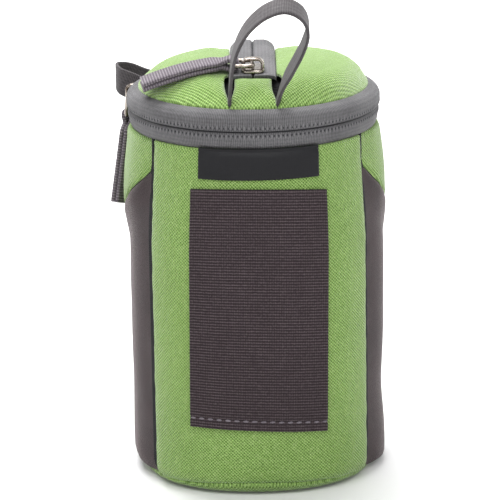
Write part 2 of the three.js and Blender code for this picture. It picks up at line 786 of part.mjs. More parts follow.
// The carry loop stands in the lid's front seams, leaning forward; it is narrower where it is sewn in.
const loopOutline = [
  [0, -loopSink],
  [0.6, 8],
  [1.6, 17],
  [3.6, 25],
  [7.8, 33],
  [14.8, 39.5],
  [21.8, 41.5],
  [27.8, 38],
  [30, 31.5],
  [28.3, 24],
  [24.8, 16],
  [20.8, 7.5],
  [2 * loopEnd.x, -loopSink],
];
const leaning = new THREE.Vector3(0, -Math.sin(degToRad(loopLean)), Math.cos(degToRad(loopLean)));
const loopCurve = new THREE.CatmullRomCurve3(
  loopOutline.map(([x, up]) =>
    new THREE.Vector3(x - loopEnd.x, loopEnd.y, loopEnd.z).addScaledVector(leaning, up),
  ),
  false,
  "centripetal",
);
const loopFacing = new THREE.Vector3().crossVectors(leaning, new THREE.Vector3(1, 0, 0));
const loopTaperRange = [0.02, 0.14]; // shares of its length over which the loop widens
const loopTaper = (t) => lerp(loopNeck, loopWidth, smoothstep(Math.min(t, 1 - t), ...loopTaperRange));
const carryLoop = strap(loopCurve, loopSteps, webbing, loopTaper, () => loopFacing);
add("carry_loop", carryLoop, material("loopGrey"), lid);

// A webbing loop sewn on the band beside the closed end of the zip.
const loopHeading = around(1, sideLoopHeading, Math.tan(degToRad(sideLoopTilt)));
const loopSideways = new THREE.Vector3(-loopHeading.y, loopHeading.x, 0);
const sideLoopMiddle = around(bandRadius, sideLoopAngle, lowerTapeTop - lowerTapeWidth / 2);
const sideLoopPoint = (along, aside) =>
  sideLoopMiddle.clone().addScaledVector(loopHeading, along).addScaledVector(loopSideways, aside);
const sideLoopRoot = (angle) =>
  around(bandRadius + sideLoopStandoff, angle, lowerTapeTop - lowerTapeWidth / 2);
const sideLoopShape = [
  [sideLoopReach * 0.5, sideLoopHalf],
  [sideLoopReach * 0.85, sideLoopHalf * 0.8],
];
const sideLoopCurve = new THREE.CatmullRomCurve3(
  [
    sideLoopRoot(sideLoopAngle - sideLoopSpread),
    ...sideLoopShape.map(([along, aside]) => sideLoopPoint(along, -aside)),
    sideLoopPoint(sideLoopReach, 0),
    ...sideLoopShape.toReversed().map(([along, aside]) => sideLoopPoint(along, aside)),
    sideLoopRoot(sideLoopAngle + sideLoopSpread),
  ],
  false,
  "centripetal",
);
const sideLoop = strap(sideLoopCurve, sideLoopSteps, webbing, () => loopWidth, () => upwards);
add("side_loop", sideLoop, material("loopGrey"));

// A wide strip of webbing and a label on the front
function frontStripe(width, aside, low, high, thickness) {
  const angle = (place) => THREE.MathUtils.radToDeg(place / bodyRadius);
  const ends = [angle(aside - width / 2), angle(aside + width / 2)];
  return wallSlab(...ends, level(low), level(high), -gap - thickness, -gap);
}
const webbingHeights = [frontWebbingLow, frontWebbingHigh];
const webbingStripe = frontStripe(frontWebbingWidth, frontWebbingAside, ...webbingHeights, webbing);
add("front_webbing", webbingStripe, material("webbingGrey"));
const labelStripe = frontStripe(labelWidth, labelAside, panelTop - labelHeight, panelTop, label);
add("front_label", labelStripe, material("label"));

export default pouch;
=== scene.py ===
"""Studio scene of a lens pouch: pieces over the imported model, their materials, light and camera."""

import math

import bmesh
import bpy
import numpy as np
from mathutils import Matrix, Vector, noise


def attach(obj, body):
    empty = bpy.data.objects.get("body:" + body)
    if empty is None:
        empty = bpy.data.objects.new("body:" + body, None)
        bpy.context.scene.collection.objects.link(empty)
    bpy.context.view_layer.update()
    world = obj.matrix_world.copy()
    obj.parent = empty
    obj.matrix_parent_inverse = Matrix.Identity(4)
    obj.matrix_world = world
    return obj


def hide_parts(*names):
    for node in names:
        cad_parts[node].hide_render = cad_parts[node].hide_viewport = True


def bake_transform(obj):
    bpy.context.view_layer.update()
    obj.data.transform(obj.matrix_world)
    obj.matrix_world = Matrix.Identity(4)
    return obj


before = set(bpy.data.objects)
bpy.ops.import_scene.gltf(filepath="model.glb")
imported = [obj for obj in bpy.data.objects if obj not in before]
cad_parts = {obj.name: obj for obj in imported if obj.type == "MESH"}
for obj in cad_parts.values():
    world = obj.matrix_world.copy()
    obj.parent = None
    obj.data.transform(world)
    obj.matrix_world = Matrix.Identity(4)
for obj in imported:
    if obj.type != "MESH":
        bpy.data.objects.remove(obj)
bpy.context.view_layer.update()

# Sizes in millimetres and degrees, the same as the model's. Angles run from the front towards +X.
MM = 0.001
BODY_RADIUS = 50
BAND_INSET = 0.5
SEAM_HEIGHT = 147
BASE_CORNER = 8.5
BASE_SEAM = 4.5
PLAN_POWER = 2.25
SQUARE_FADE = 45
FABRIC = 1
GAP = 0.3
LINING_DEPTH = 6.9
PADDING_TOP = 142
FRONT_SEAM = 56
FRONT_TURN = 2.6
BACK_SEAM = 124
SIDE_SEAM_FRONT = 130
SIDE_SEAM_DROP = 34
SIDE_SEAM_BEND = 1.6
SHOULDER_BULGE = 2.1
SEAM_PUFF = 0.4
PANEL_TOP = 139.8
BAND_RADIUS = 49.5
BAND_LOW = 139.9
UPPER_LOW = 147.5
BAND_STRAIGHT = 3.5
SHOULDER_INSET = 3
RIM_HEIGHT = 155.1
RIM_RADIUS = 46.5
LID_RADIUS = 45.3
LID_CROWN = 9.4
CROWN_POWER = 4.5
LID_PAD_LOW = 150.8
LID_PAD_RADIUS = 42.6
TAPE = 0.9
ZIP_END = 150
COIL_START = -126
COIL_DEPTH = 1.5
COIL_OFFSET = 1
STRIP_HALF = 9
STRIP_ANGLE = 169.6
ZIP_FRONT = 27
ZIP_FOOT = 13
CREST_BACK = 28
CREST_RISE = 0.3
CREST_CLIMB = 2.6
CREST_POWER = 2.2
TOP_SLIDER_Y = -19.5
BAND_SLIDER_ANGLE = -113
PIVOT_HEIGHT = 3.2
SLIDER_LENGTH = 12
SLIDER_WIDTH = 9
PLATE = 1.2
PLATE_LOW = 0.5
LOW_PLATE = -3.6
LINK_WIRE = 1.4
FAR_BAR = 8.1
LINK_WIDTH = 10.1
TAB_WEBBING = 1.5
TAB_WIDTH = 11.5
TAB_NECK = 6.5
TAB_WIDEN = (0.14, 0.28)
TAB_ROLL_RANGE = (0.2, 0.7)
TAB_LENGTH = 36
TAB_BEND = 1.6
TOP_TAB_DRIFT = 4
TOP_TAB_DROOP = 7.2
TOP_TAB_ROLL = 3
BAND_PULL_LEAN = 6
BAND_TAB_DRIFT = 9
BAND_TAB_TUCK = 2
WEBBING = 1.2
LOOP_WIDTH = 11
LOOP_NECK = 5
LOOP_LEAN = 20
LOOP_FLEX = 9
LOOP_END = (9.15, -41.9, 157.97)
LOOP_OUTLINE = (
    (0, -1.1), (0.6, 8), (1.6, 17), (3.6, 25), (7.8, 33), (14.8, 39.5), (21.8, 41.5),
    (27.8, 38), (30, 31.5), (28.3, 24), (24.8, 16), (20.8, 7.5), (18.3, -1.1),
)
SIDE_LOOP_ANGLE = -134
SIDE_LOOP_HEADING = -104
SIDE_LOOP_REACH = 20
SIDE_LOOP_HALF = 6.5
SIDE_LOOP_TILT = 20
SIDE_LOOP_SPREAD = 9
SIDE_LOOP_STANDOFF = 3.2
SIDE_LOOP_HEIGHT = 143.3
FRONT_WEBBING = (54, 27, 123.4)
LABEL = (48, 128.3, 140.4)

# Sizes of the finer forms
STEP = 1.7  # spacing of a panel's points
EDGE_STEPS = (0, 0.25, 0.6, 1.1, 1.8)  # closer spacing beside its edges
SEAM_WIDTH = 3  # a sewn edge rolls in over this width
SEAM_DEPTH = 2.4
SEAM_SLIT = 0.2  # half the gap between two panels
SHADE_STRIP = (3, 0.7)  # width and thickness of the dark strip beside the front panel, painted shade of the crease
SHADE_STRIP_ASIDE = 2.9  # degrees
SHADE_STRIP_OUT = 0.1  # how far it stands out of the crease
CREASE = 0.42  # share by which it narrows beside the shoulder panels
CREASE_RANGE = (125, 131)
HEM_SHADE = (0.9, 0.6)  # width and thickness of the dark strip below a shoulder panel, painted shade under its hem
HEM_SHADE_OUT = 0.3  # how far it stands out of the hem
SEAM_WAVE = 1.2  # the base's seam waves this much below the front panel
SIDE_FOOT = 1.8  # and lies this high elsewhere
FOOT_ROUND = 5  # degrees and height of the front panel's rounded lower corners
LIFT_START = 0.86  # share of a side panel's height where it starts to rise to the shoulder
HEEL = 1.2  # how far the right side bulges above the floor
HEEL_FADE = (8, 36)  # heights between which that fades
HEEL_CORNER = 5.5  # rounding of its foot
WAIST = 1.1  # how far it bulges at its middle
WAIST_RANGE = (30, 62, 88, 115)  # heights where that starts, is full, fades and ends
FULL_SIDE = (80, 105)  # angles between which both bulges are full
HEM_WIDTH = 2.2  # an edge at the band or the base rolls in over this width
HEM_DEPTH = 1.4
LID_HEM = 0.8
SLOPE_WIDTH = 18  # the side panels slope in under the front panel's edge over this width
SLOPE_DEPTH = 2.8
RIPPLE = 0.35  # height of the fabric's soft unevenness
RIPPLE_SIZE = 24
PUCKER = 0.45  # height of the gathers beside a seam
PUCKER_SIZE = 5
PUCKER_REACH = 4  # they fade over this distance
LOWER_STEP = 0.4  # the lower zip tape lies this far in
LOWER_TUCK = 0.8  # and this much further at its foot
SLIT = 0.3  # half the gap between two zip tapes
SLIT_ROLL = (0.8, 0.45)  # width and depth of a tape's rolled edge beside the gap
TAPE_ROLL = (1.4, 0.8)  # and of its sewn edge
STITCH = (1.9, 0.8, 0.3)  # length, width and height of a stitch on the zip tapes
HOLE_SHADE = (0.9, 0.7, 0.25)  # and of the dark bump between two, painted shade of a needle hole
STITCH_PITCH = 1.75
RIB_PITCH = 1.15  # ribs of the wide webbing
RIB_HEIGHT = 0.28
COIL_PITCH = 1.5
COIL_WIRE = 0.3
COIL_HALF = 0.6
COIL_CORE = (1.98, 0.5)  # width and thickness of the cord in front of a coil
CORE_OUT = 0.5
TAB_THICK = 1.75  # one soft layer of a tab
SHARP = math.radians(50)  # a sharper edge isn't shaded smooth

SIDES = (("left", -1), ("right", 1))
RIGHT = np.array([1.0, 0.0, 0.0])
UP = np.array([0.0, 0.0, 1.0])
WHITE = (1, 1, 1, 1)


def smoothstep(value, low, high):
    share = np.clip((value - low) / (high - low), 0, 1)
    return share * share * (3 - 2 * share)


def between(value, start, full, fade, end):
    return smoothstep(value, start, full) * (1 - smoothstep(value, fade, end))


def lerp(first, second, share):
    return first + (second - first) * share


def stacked(*values):
    return np.stack(np.broadcast_arrays(*values), -1)


def around(radius, angle, height):
    turn = np.radians(angle)
    return stacked(radius * np.sin(turn), -radius * np.cos(turn), height)


def outward(angle):
    return around(1, angle, 0.0)


def plan_swell(angle):
    """How far the pouch's plan, between a circle and a square, reaches beyond the circle."""
    turn = np.radians(angle)
    power = np.abs(np.sin(turn)) ** PLAN_POWER + np.abs(np.cos(turn)) ** PLAN_POWER
    return power ** (-1 / PLAN_POWER)


def body_radius(angle, z):
    fade = smoothstep(z, PANEL_TOP - SQUARE_FADE, PANEL_TOP)
    swell = 1 + (plan_swell(angle) - 1) * (1 - fade)
    inside = np.maximum(0, BASE_CORNER**2 - (BASE_CORNER - z) ** 2)
    corner = BODY_RADIUS - BASE_CORNER + np.sqrt(inside)
    return np.where(z >= BASE_CORNER, BODY_RADIUS - BAND_INSET * fade, corner) * swell


def upper_band_radius(z):
    straight = UPPER_LOW + BAND_STRAIGHT
    share = np.clip((z - straight) / (RIM_HEIGHT - straight), 0, 1)
    return BAND_RADIUS - SHOULDER_INSET * share**2


def crown_height(radius):
    share = np.minimum(radius, RIM_RADIUS) / RIM_RADIUS
    return RIM_HEIGHT + LID_CROWN * (1 - share**CROWN_POWER)


def crest_height(y):
    front = crown_height(ZIP_FRONT) + CREST_RISE
    straight = front + CREST_CLIMB * (y + ZIP_FRONT) / (CREST_BACK + ZIP_FRONT)
    share = np.clip((y - CREST_BACK) / (RIM_RADIUS - CREST_BACK), 0, 1)
    falling = RIM_HEIGHT + (front + CREST_CLIMB - RIM_HEIGHT) * (1 - share**CREST_POWER)
    return np.where(y <= CREST_BACK, straight, falling)


def front_edge(angle):
    """Angle between the middle and the front panel's edge, on the side of an angle."""
    return FRONT_SEAM + FRONT_TURN * np.sign(angle)


def from_front(angle):
    """Share of the way from the front panel's edge to the back seam."""
    edge = front_edge(angle)
    return np.clip((np.abs(angle) - edge) / (BACK_SEAM - edge), 0, 1)


def side_seam(angle):
    share = from_front(angle)
    return SIDE_SEAM_FRONT - SIDE_SEAM_DROP * (1 - (1 - share) ** SIDE_SEAM_BEND)


def draw_in(edge, width=SEAM_WIDTH, depth=SEAM_DEPTH):
    """How far a sewn edge rolls in, at a distance from it."""
    share = np.clip(1 - edge / width, 0, 1)
    return depth * (1 - np.sqrt(1 - share**2))


def ripple(points, size, seed):
    flat = points.reshape(-1, 3) / size
    values = [noise.noise(Vector((x, y, z + seed))) for x, y, z in flat]
    return np.array(values).reshape(points.shape[:-1])


def spaced(length, step=STEP):
    """Distances from 0 to length, closer together beside both ends."""
    ends = np.array(EDGE_STEPS)
    count = max(2, round((length - 2 * ends[-1]) / step))
    middle = np.linspace(ends[-1], length - ends[-1], count + 1)
    return np.concatenate([ends[:-1], middle, length - ends[-2::-1]])


def unit(vectors):
    return vectors / np.linalg.norm(vectors, axis=-1, keepdims=True)


def run_length(path):
    """Distance along a path at each of its points."""
    return np.concatenate([[0], np.cumsum(np.linalg.norm(np.diff(path, axis=0), axis=1))])


def smooth_curve(points, count):
    """Points along a centripetal curve through the given ones."""
    points = np.array(points, float)
    line = np.concatenate([[2 * points[0] - points[1]], points, [2 * points[-1] - points[-2]]])
    place = np.linspace(0, 1, count) * (len(points) - 1)
    start = np.minimum(place.astype(int), len(points) - 2)
    t = (place - start)[:, None]
    p0, p1, p2, p3 = (line[start + i] for i in range(4))
    d0, d1, d2 = (np.linalg.norm(b - a, axis=1)[:, None] ** 0.5 for a, b in ((p0, p1), (p1, p2), (p2, p3)))
    m1 = ((p1 - p0) / d0 - (p2 - p0) / (d0 + d1) + (p2 - p1) / d1) * d1
    m2 = ((p2 - p1) / d1 - (p3 - p1) / (d1 + d2) + (p3 - p2) / d2) * d1
    square = (3 * p2 - 3 * p1 - 2 * m1 - m2) * t**2
    return (2 * p1 - 2 * p2 + m1 + m2) * t**3 + square + m1 * t + p1


# Mesh makers. Each returns points and texture places in millimetres, and faces.
def quads(place):
    """Faces between the rows and columns of a grid of point numbers."""
    corners = [place[:-1, :-1], place[:-1, 1:], place[1:, 1:], place[1:, :-1]]
    return np.stack(corners, -1).reshape(-1, 4)


def shell(outer, inner, uv):
    """A closed sheet between two grids of points."""
    rows, columns = outer.shape[:2]
    count = rows * columns
    place = np.arange(count).reshape(rows, columns)
    face = quads(place)
    border = np.concatenate([place[0, :-1], place[:-1, -1], place[-1, :0:-1], place[:0:-1, 0]])
    ahead = np.roll(border, -1)
    walls = np.stack([border, border + count, ahead + count, ahead], -1)
    faces = np.concatenate([face, face[:, ::-1] + count, walls]).tolist()
    points = np.concatenate([outer.reshape(-1, 3), inner.reshape(-1, 3)])
    return points, faces, np.concatenate([uv.reshape(-1, 2)] * 2)


def sweep(path, across, section, closed=False):
    """A section of (across, out) points drawn along a path."""
    if closed:
        path = np.concatenate([path, path[:1]])
        ahead = np.concatenate([path[1:], path[1:2]])
        behind = np.concatenate([path[-2:-1], path[:-1]])
        along = unit(ahead - behind)
    else:
        along = unit(np.gradient(path, axis=0))
    across = np.broadcast_to(across, path.shape)
    across = unit(across - along * np.sum(across * along, -1, keepdims=True))
    out = np.cross(across, along)
    section = np.broadcast_to(section, (len(path), *np.shape(section)[-2:]))
    grid = path[:, None] + across[:, None] * section[..., :1] + out[:, None] * section[..., 1:]
    rows, columns = grid.shape[:2]
    place = np.arange(rows * columns).reshape(rows, columns)
    faces = quads(place).tolist()
    if not closed:
        faces += [place[0, :-1].tolist(), place[-1, -2::-1].tolist()]
    uv = stacked(run_length(section[0]), run_length(path)[:, None])
    return grid.reshape(-1, 3), faces, uv.reshape(-1, 2)


def strap_section(width, thickness, steps=8):
    radius = thickness / 2
    half = width / 2 - radius
    flat = np.linspace(-half, half, steps + 1)
    turn = np.radians(np.linspace(90, -90, 7))[1:-1]
    top = stacked(flat, radius)
    side = stacked(half + radius * np.cos(turn), radius * np.sin(turn))
    return np.concatenate([top, side, -top, -side, top[:1]])


def round_section(radius, sides=8):
    turn = np.linspace(0, 2 * math.pi, sides + 1)
    return stacked(radius * np.cos(turn), radius * np.sin(turn))


def prism(outline, low, high, bevel):
    """An upright solid on an outline, with rounded edges."""
    solid = bmesh.new()
    base = solid.faces.new([solid.verts.new((x, y, low)) for x, y in outline])
    lifted = bmesh.ops.extrude_face_region(solid, geom=[base])["geom"]
    top = [item for item in lifted if isinstance(item, bmesh.types.BMVert)]
    bmesh.ops.translate(solid, verts=top, vec=(0, 0, high - low))
    edges = [edge for edge in solid.edges if edge.calc_face_angle(0) > SHARP / 2]
    bmesh.ops.bevel(solid, geom=edges, offset=bevel, segments=2, profile=0.6, affect="EDGES")
    solid.verts.index_update()
    points = np.array([vertex.co for vertex in solid.verts])
    faces = [[vertex.index for vertex in face.verts] for face in solid.faces]
    solid.free()
    return points, faces, points[:, :2]


def moved(part, matrix):
    points, faces, uv = part
    turned = points @ np.array(matrix.to_3x3()).T + np.array(matrix.translation)
    return turned, faces, uv


THREAD_PLACE = np.array([0.127, 0.175])  # a light spot of the woven textures
THREAD_SPAN = 0.001
STITCH_RINGS = np.array([(1, 0), (0.8, 0.7), (0.4, 1)])  # spread and rise
STITCH_SIDES = 8


def stitches(places, along, out, size):
    """Small rounded stitches with their middles at the places."""
    length, width, height = size
    across = np.cross(out, along)
    turn = np.linspace(0, 2 * math.pi, STITCH_SIDES, endpoint=False)
    spread, rise = STITCH_RINGS[:, :1], STITCH_RINGS[:, 1:]
    forward = (length / 2 * spread * np.cos(turn)).reshape(-1, 1)
    aside = (width / 2 * spread * np.sin(turn)).reshape(-1, 1)
    upward = np.repeat(height * rise, STITCH_SIDES, 0)
    rings = np.arange(len(forward)).reshape(-1, STITCH_SIDES)
    faces = quads(np.concatenate([rings, rings[:, :1]], 1)).tolist()
    faces += [rings[0, ::-1].tolist(), rings[-1].tolist()]
    parts = []
    for i, centre in enumerate(places):
        points = centre + along[i] * forward + across[i] * aside + out[i] * upward
        parts.append((points, faces, THREAD_PLACE + THREAD_SPAN * points[:, :2]))
    return parts


materials = {}


def add_piece(name, parts, slot, nodes=(), body=None):
    """One mesh of the parts, standing for the model's nodes and riding on a body."""
    points = np.concatenate([part[0] for part in parts]) * MM
    uv = np.concatenate([part[2] for part in parts]) * MM
    starts = np.cumsum([0] + [len(part[0]) for part in parts])
    faces = [[i + start for i in face] for part, start in zip(parts, starts.tolist()) for face in part[1]]
    mesh = bpy.data.meshes.new(name)
    mesh.from_pydata(points.tolist(), [], faces)
    corners = np.empty(len(mesh.loops), int)
    mesh.loops.foreach_get("vertex_index", corners)
    mesh.uv_layers.new(name="UVMap").data.foreach_set("uv", uv[corners].ravel())
    solid = bmesh.new()
    solid.from_mesh(mesh)
    bmesh.ops.remove_doubles(solid, verts=solid.verts, dist=1e-6)
    bmesh.ops.dissolve_degenerate(solid, edges=solid.edges, dist=1e-7)
    bmesh.ops.recalc_face_normals(solid, faces=solid.faces)
    solid.to_mesh(mesh)
    solid.free()
    mesh.polygons.foreach_set("use_smooth", [True] * len(mesh.polygons))
    mesh.set_sharp_from_angle(angle=SHARP)
    mesh.materials.append(materials[slot])
    piece = bpy.data.objects.new(name, mesh)
    bpy.context.scene.collection.objects.link(piece)
    if nodes:
        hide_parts(*nodes)
    if body:
        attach(piece, body)
    return piece


def add_sheet(name, part, slot, nodes, flat, body=None, bend=None, held="stretched", **cut):
    """A piece of cloth on one body, or, given a bend between two, with its place baked into its points; its
    flat size in metres is not used.
    """
    piece = add_piece(name, [part], slot, nodes, body)
    if bend:
        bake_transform(piece)


# Materials
CLOTH_SHINE = 0.2  # specular level of all fabrics
WARM_SHEEN = (1, 0.82, 0.82, 1)
WEAVE = 1.3  # pitch of the green fabric's yarns


def colour(red, green, blue):
    """Linear colour of an sRGB one in 0 to 255."""
    shares = [value / 255 for value in (red, green, blue)]
    return [s / 12.92 if s <= 0.04045 else ((s + 0.055) / 1.055) ** 2.4 for s in shares] + [1]


class Graph:
    """Nodes of one tree."""

    def __init__(self, tree):
        self.tree = tree

    def set(self, socket, value):
        if isinstance(value, bpy.types.NodeSocket):
            self.tree.links.new(value, socket)
        else:
            socket.default_value = value

    def node(self, kind, inputs=(), output=0, **settings):
        """An output of a new node, whose inputs are given by name or number."""
        node = self.tree.nodes.new(f"ShaderNode{kind}")
        for name, value in settings.items():
            setattr(node, name, value)
        for name, value in dict(inputs).items():
            self.set(node.inputs[name], value)
        return node.outputs[output]

    def math(self, operation, first, second=0.0):
        return self.node("Math", {0: first, 1: second}, operation=operation)

    def plus(self, first, second):
        return self.math("ADD", first, second)

    def times(self, first, second):
        return self.math("MULTIPLY", first, second)

    def line(self, value, scale, shift):
        return self.plus(self.times(value, scale), shift)

    def ramp(self, value, low, high, start=0.0, end=1.0):
        return self.node("MapRange", enumerate((value, low, high, start, end)))

    def seen(self):
        """1 for what the camera sees straight on, in a reflection or through a clear thing."""
        seen = self.node("LightPath", output="Is Camera Ray")
        for kind in ("Is Glossy Ray", "Is Transmission Ray"):
            seen = self.math("MAXIMUM", seen, self.node("LightPath", output=kind))
        return seen


class Surface(Graph):
    """Nodes of one material, with texture places in metres."""

    def __init__(self, slot):
        materials[slot] = bpy.data.materials.new(slot)
        materials[slot].use_nodes = True
        super().__init__(materials[slot].node_tree)
        self.shader = self.tree.nodes["Principled BSDF"]
        self.solid = self.node("TexCoord", output="Object")
        flat = {0: self.node("TexCoord", output="UV")}
        self.across = self.node("SeparateXYZ", flat, "X")
        self.along = self.node("SeparateXYZ", flat, "Y")

    def wave(self, place, pitch, shift=0.0):
        """From -1 to 1 along a place, with a pitch in millimetres."""
        return self.math("SINE", self.line(place, 2 * math.pi / (pitch * MM), shift))

    def noise(self, size, detail=2.0):
        """From 0 to 1, with spots of a size in millimetres."""
        inputs = {"Vector": self.solid, "Scale": 1 / (size * MM), "Detail": detail}
        return self.node("TexNoise", inputs, "Fac")

    def uneven(self, size, detail=2.0):
        """The same from -0.5 to 0.5."""
        return self.plus(self.noise(size, detail), -0.5)

    def mix(self, share, first, second):
        return self.node("Mix", {"Factor": share, 6: first, 7: second}, 2, data_type="RGBA")

    def finish(self, **values):
        for name, value in values.items():
            self.set(self.shader.inputs[name.replace("_", " ")], value)

    def relief(self, height, depth):
        """Bumps of a depth in millimetres."""
        return self.node("Bump", {"Strength": 1.0, "Distance": depth * MM, "Height": height})

    def cloth(self, tint, height, depth, roughness, sheen, haze, **values):
        self.finish(
            Base_Color=tint, Normal=self.relief(height, depth), Roughness=roughness,
            Sheen_Weight=sheen, Sheen_Roughness=haze, Specular_IOR_Level=CLOTH_SHINE, **values,
        )


def coarse_weave(slot, dark, light, pale):
    """Thick yarns crossing in a diagonal check."""
    graph = Surface(slot)
    check = graph.times(graph.wave(graph.across, WEAVE), graph.wave(graph.along, WEAVE))
    slant = graph.wave(graph.plus(graph.across, graph.along), WEAVE)
    yarn = graph.plus(graph.times(check, 0.7), graph.times(slant, 0.3))
    height = graph.plus(yarn, graph.uneven(0.7))
    share = graph.ramp(height, -0.9, 0.8)
    tint = graph.mix(share, dark, light)
    patch = graph.ramp(graph.noise(1.1, 3.0), 0.5, 0.8)
    tint = graph.mix(graph.times(patch, 0.4), tint, pale)
    broad = graph.ramp(graph.noise(30.0), 0.3, 0.7)
    tint = graph.mix(graph.times(broad, 0.12), tint, dark)
    roughness = graph.line(share, -0.15, 0.85)
    graph.cloth(tint, height, 0.22, roughness, 0.55, 0.3)


def fine_weave(slot, dark, light, pitch, depth, roughness, sheen=0.06):
    """Thin yarns, seen as short rows along and across."""
    graph = Surface(slot)
    rows = graph.wave(graph.along, pitch)
    lines = graph.wave(graph.across, 2 * pitch, 1.0)
    yarn = graph.plus(graph.times(rows, 0.5), graph.times(lines, 0.12))
    height = graph.plus(yarn, graph.uneven(0.9, 3.0))
    broad = graph.times(graph.uneven(14.0), 1.2)
    share = graph.ramp(graph.plus(height, broad), -0.8, 0.8)
    worn = graph.plus(graph.times(share, -0.12), roughness)
    graph.cloth(graph.mix(share, dark, light), height, depth, worn, sheen, 0.35)


def smooth_cloth(slot, dark, light):
    """A smooth coated cloth with soft streaks."""
    graph = Surface(slot)
    weave = graph.times(graph.wave(graph.across, 0.55), graph.wave(graph.along, 0.55))
    streak = graph.noise(5.0, 4.0)
    height = graph.plus(graph.times(weave, 0.5), streak)
    share = graph.ramp(graph.plus(streak, graph.noise(22.0)), 0.6, 1.4)
    roughness = graph.line(streak, 0.2, 0.42)
    graph.cloth(graph.mix(share, dark, light), height, 0.1, roughness, 0.2, 0.32, Sheen_Tint=WARM_SHEEN)


def ribbed(slot, dark, light, pitch, depth):
    """Webbing whose ribs cross its length, broken by its warp threads."""
    graph = Surface(slot)
    rib = graph.wave(graph.along, pitch)
    warp = graph.wave(graph.across, 0.9)
    broken = graph.times(graph.plus(warp, 1.0), 0.25)
    fibre = graph.times(graph.uneven(0.7, 3.0), 2.2)
    rib = graph.times(rib, graph.line(graph.noise(6.0), 0.8, 0.3))
    height = graph.plus(graph.math("SUBTRACT", rib, broken), fibre)
    share = graph.ramp(height, -0.6, 1.3)
    patch = graph.line(graph.noise(9.0), 0.5, 0.75)
    tint = graph.mix(graph.times(share, patch), dark, light)
    roughness = graph.line(share, -0.15, 0.75)
    graph.cloth(tint, height, depth, roughness, 0.04, 0.4)


def bright_metal(slot, dark, light):
    """Cloudy polished metal with fine scratches."""
    graph = Surface(slot)
    cloud = graph.noise(2.5, 4.0)
    tint = graph.mix(graph.ramp(cloud, 0.35, 0.65), dark, light)
    roughness = graph.line(cloud, 0.22, 0.14)
    scratch = graph.relief(graph.noise(0.35), 0.01)
    graph.finish(Base_Color=tint, Normal=scratch, Roughness=roughness, Metallic=1.0)


coarse_weave("green_fabric", colour(68, 102, 32), colour(168, 203, 118), colour(196, 220, 150))
smooth_cloth("side_fabric", colour(38, 29, 31), colour(58, 47, 49))
fine_weave("zip_tape", colour(73, 72, 74), colour(121, 120, 122), 0.7, 0.12, 0.75)
fine_weave("zip_coil", colour(34, 34, 36), colour(62, 62, 65), 0.5, 0.05, 0.5, 0.0)
ribbed("wide_webbing", colour(41, 33, 36), colour(101, 89, 93), RIB_PITCH, 0.1)
fine_weave("loop_webbing", colour(46, 43, 45), colour(94, 90, 92), 0.6, 0.08, 0.7)
ribbed("puller_webbing", colour(90, 83, 90), colour(154, 146, 153), 1.1, 0.1)
fine_weave("label", colour(17, 17, 20), colour(26, 26, 29), 0.45, 0.04, 0.5)
fine_weave("lining", colour(16, 16, 18), colour(34, 34, 37), 0.8, 0.1, 0.85, 0.0)
bright_metal("metal", colour(92, 82, 74), colour(176, 168, 160))


# Wall panels
def front_slope(angle):
    """How far a side panel slopes in towards the front panel's edge."""
    aside = np.radians(np.abs(angle) - front_edge(angle)) * BODY_RADIUS
    return SLOPE_DEPTH * (1 - smoothstep(aside, 0, SLOPE_WIDTH))


def gather(flat, edge, seed):
    """Height of the gathers at a distance from a sewn edge."""
    return PUCKER * ripple(flat, PUCKER_SIZE, seed) * np.exp(-edge / PUCKER_REACH)


def wall_panel(start, end, low, high, seed, bulge=None, under_front=False):
    """A sewn panel between two angles, from one line of heights to another."""
    trim = math.degrees(SEAM_SLIT / BODY_RADIUS)
    start, end = start + trim, end - trim
    arc = math.radians(end - start) * BODY_RADIUS
    aside = spaced(arc)
    angle = start + (end - start) * aside / arc
    bottom, top = low(angle), high(angle)
    tallest = np.max(top - bottom)
    share = (spaced(tallest) / tallest)[:, None]
    z = bottom + share * (top - bottom)
    seam = np.minimum(aside, arc - aside)
    hem = np.minimum(z - bottom, top - z)
    edge = np.minimum(seam, hem)
    rolled = draw_in(np.where(from_front(angle) < 0.5, SEAM_WIDTH, seam) if under_front else seam)
    roll = np.maximum(rolled, draw_in(hem, HEM_WIDTH, HEM_DEPTH))
    if under_front:
        roll = roll + front_slope(angle)
    radius = body_radius(angle, z)
    if bulge:
        radius = radius + bulge(angle, share)
    flat = around(radius, angle, z)
    soft = RIPPLE * ripple(flat, RIPPLE_SIZE, seed) * smoothstep(edge, 0, RIPPLE_SIZE / 2)
    radius = radius + soft + gather(flat, edge, seed) - roll
    uv = stacked(np.radians(angle) * BODY_RADIUS, z)
    return shell(around(radius, angle, z), around(radius - FABRIC, angle, z), uv)


def panel_top(angle):
    return np.full_like(angle, PANEL_TOP)


def zip_foot(angle):
    return np.full_like(angle, ZIP_FOOT - GAP)


def bulge_at(angle):
    across = np.sin(math.pi * smoothstep(from_front(angle), 0, 1))
    return SHOULDER_BULGE * np.sqrt(np.maximum(across, 0))


def shoulder_puff(angle, share):
    """How far a shoulder panel stands out, from its seam up."""
    return bulge_at(angle) * np.sin(math.pi * lerp(SEAM_PUFF, 1, share))


def foot_corner(z, corner):
    """How far a rounded foot lies inside the wall at a height."""
    return corner - np.sqrt(corner**2 - (corner - np.minimum(z, corner)) ** 2)


def side_lift(angle, share):
    """How far a side panel stands out at its top, and on the right at its foot and middle."""
    z = lerp(SIDE_FOOT, side_seam(angle), share)
    fuller = foot_corner(z, BASE_CORNER) - foot_corner(z, HEEL_CORNER)
    fuller = fuller + HEEL * (1 - smoothstep(z, *HEEL_FADE)) + WAIST * between(z, *WAIST_RANGE)
    fuller = fuller * between(angle, FRONT_SEAM, *FULL_SIDE, BACK_SEAM)
    return fuller + shoulder_puff(angle, 0) * smoothstep(share, LIFT_START, 1)


def wavy_seam(angle):
    return BASE_SEAM + SEAM_WAVE * np.cos(math.pi * angle / front_edge(angle))


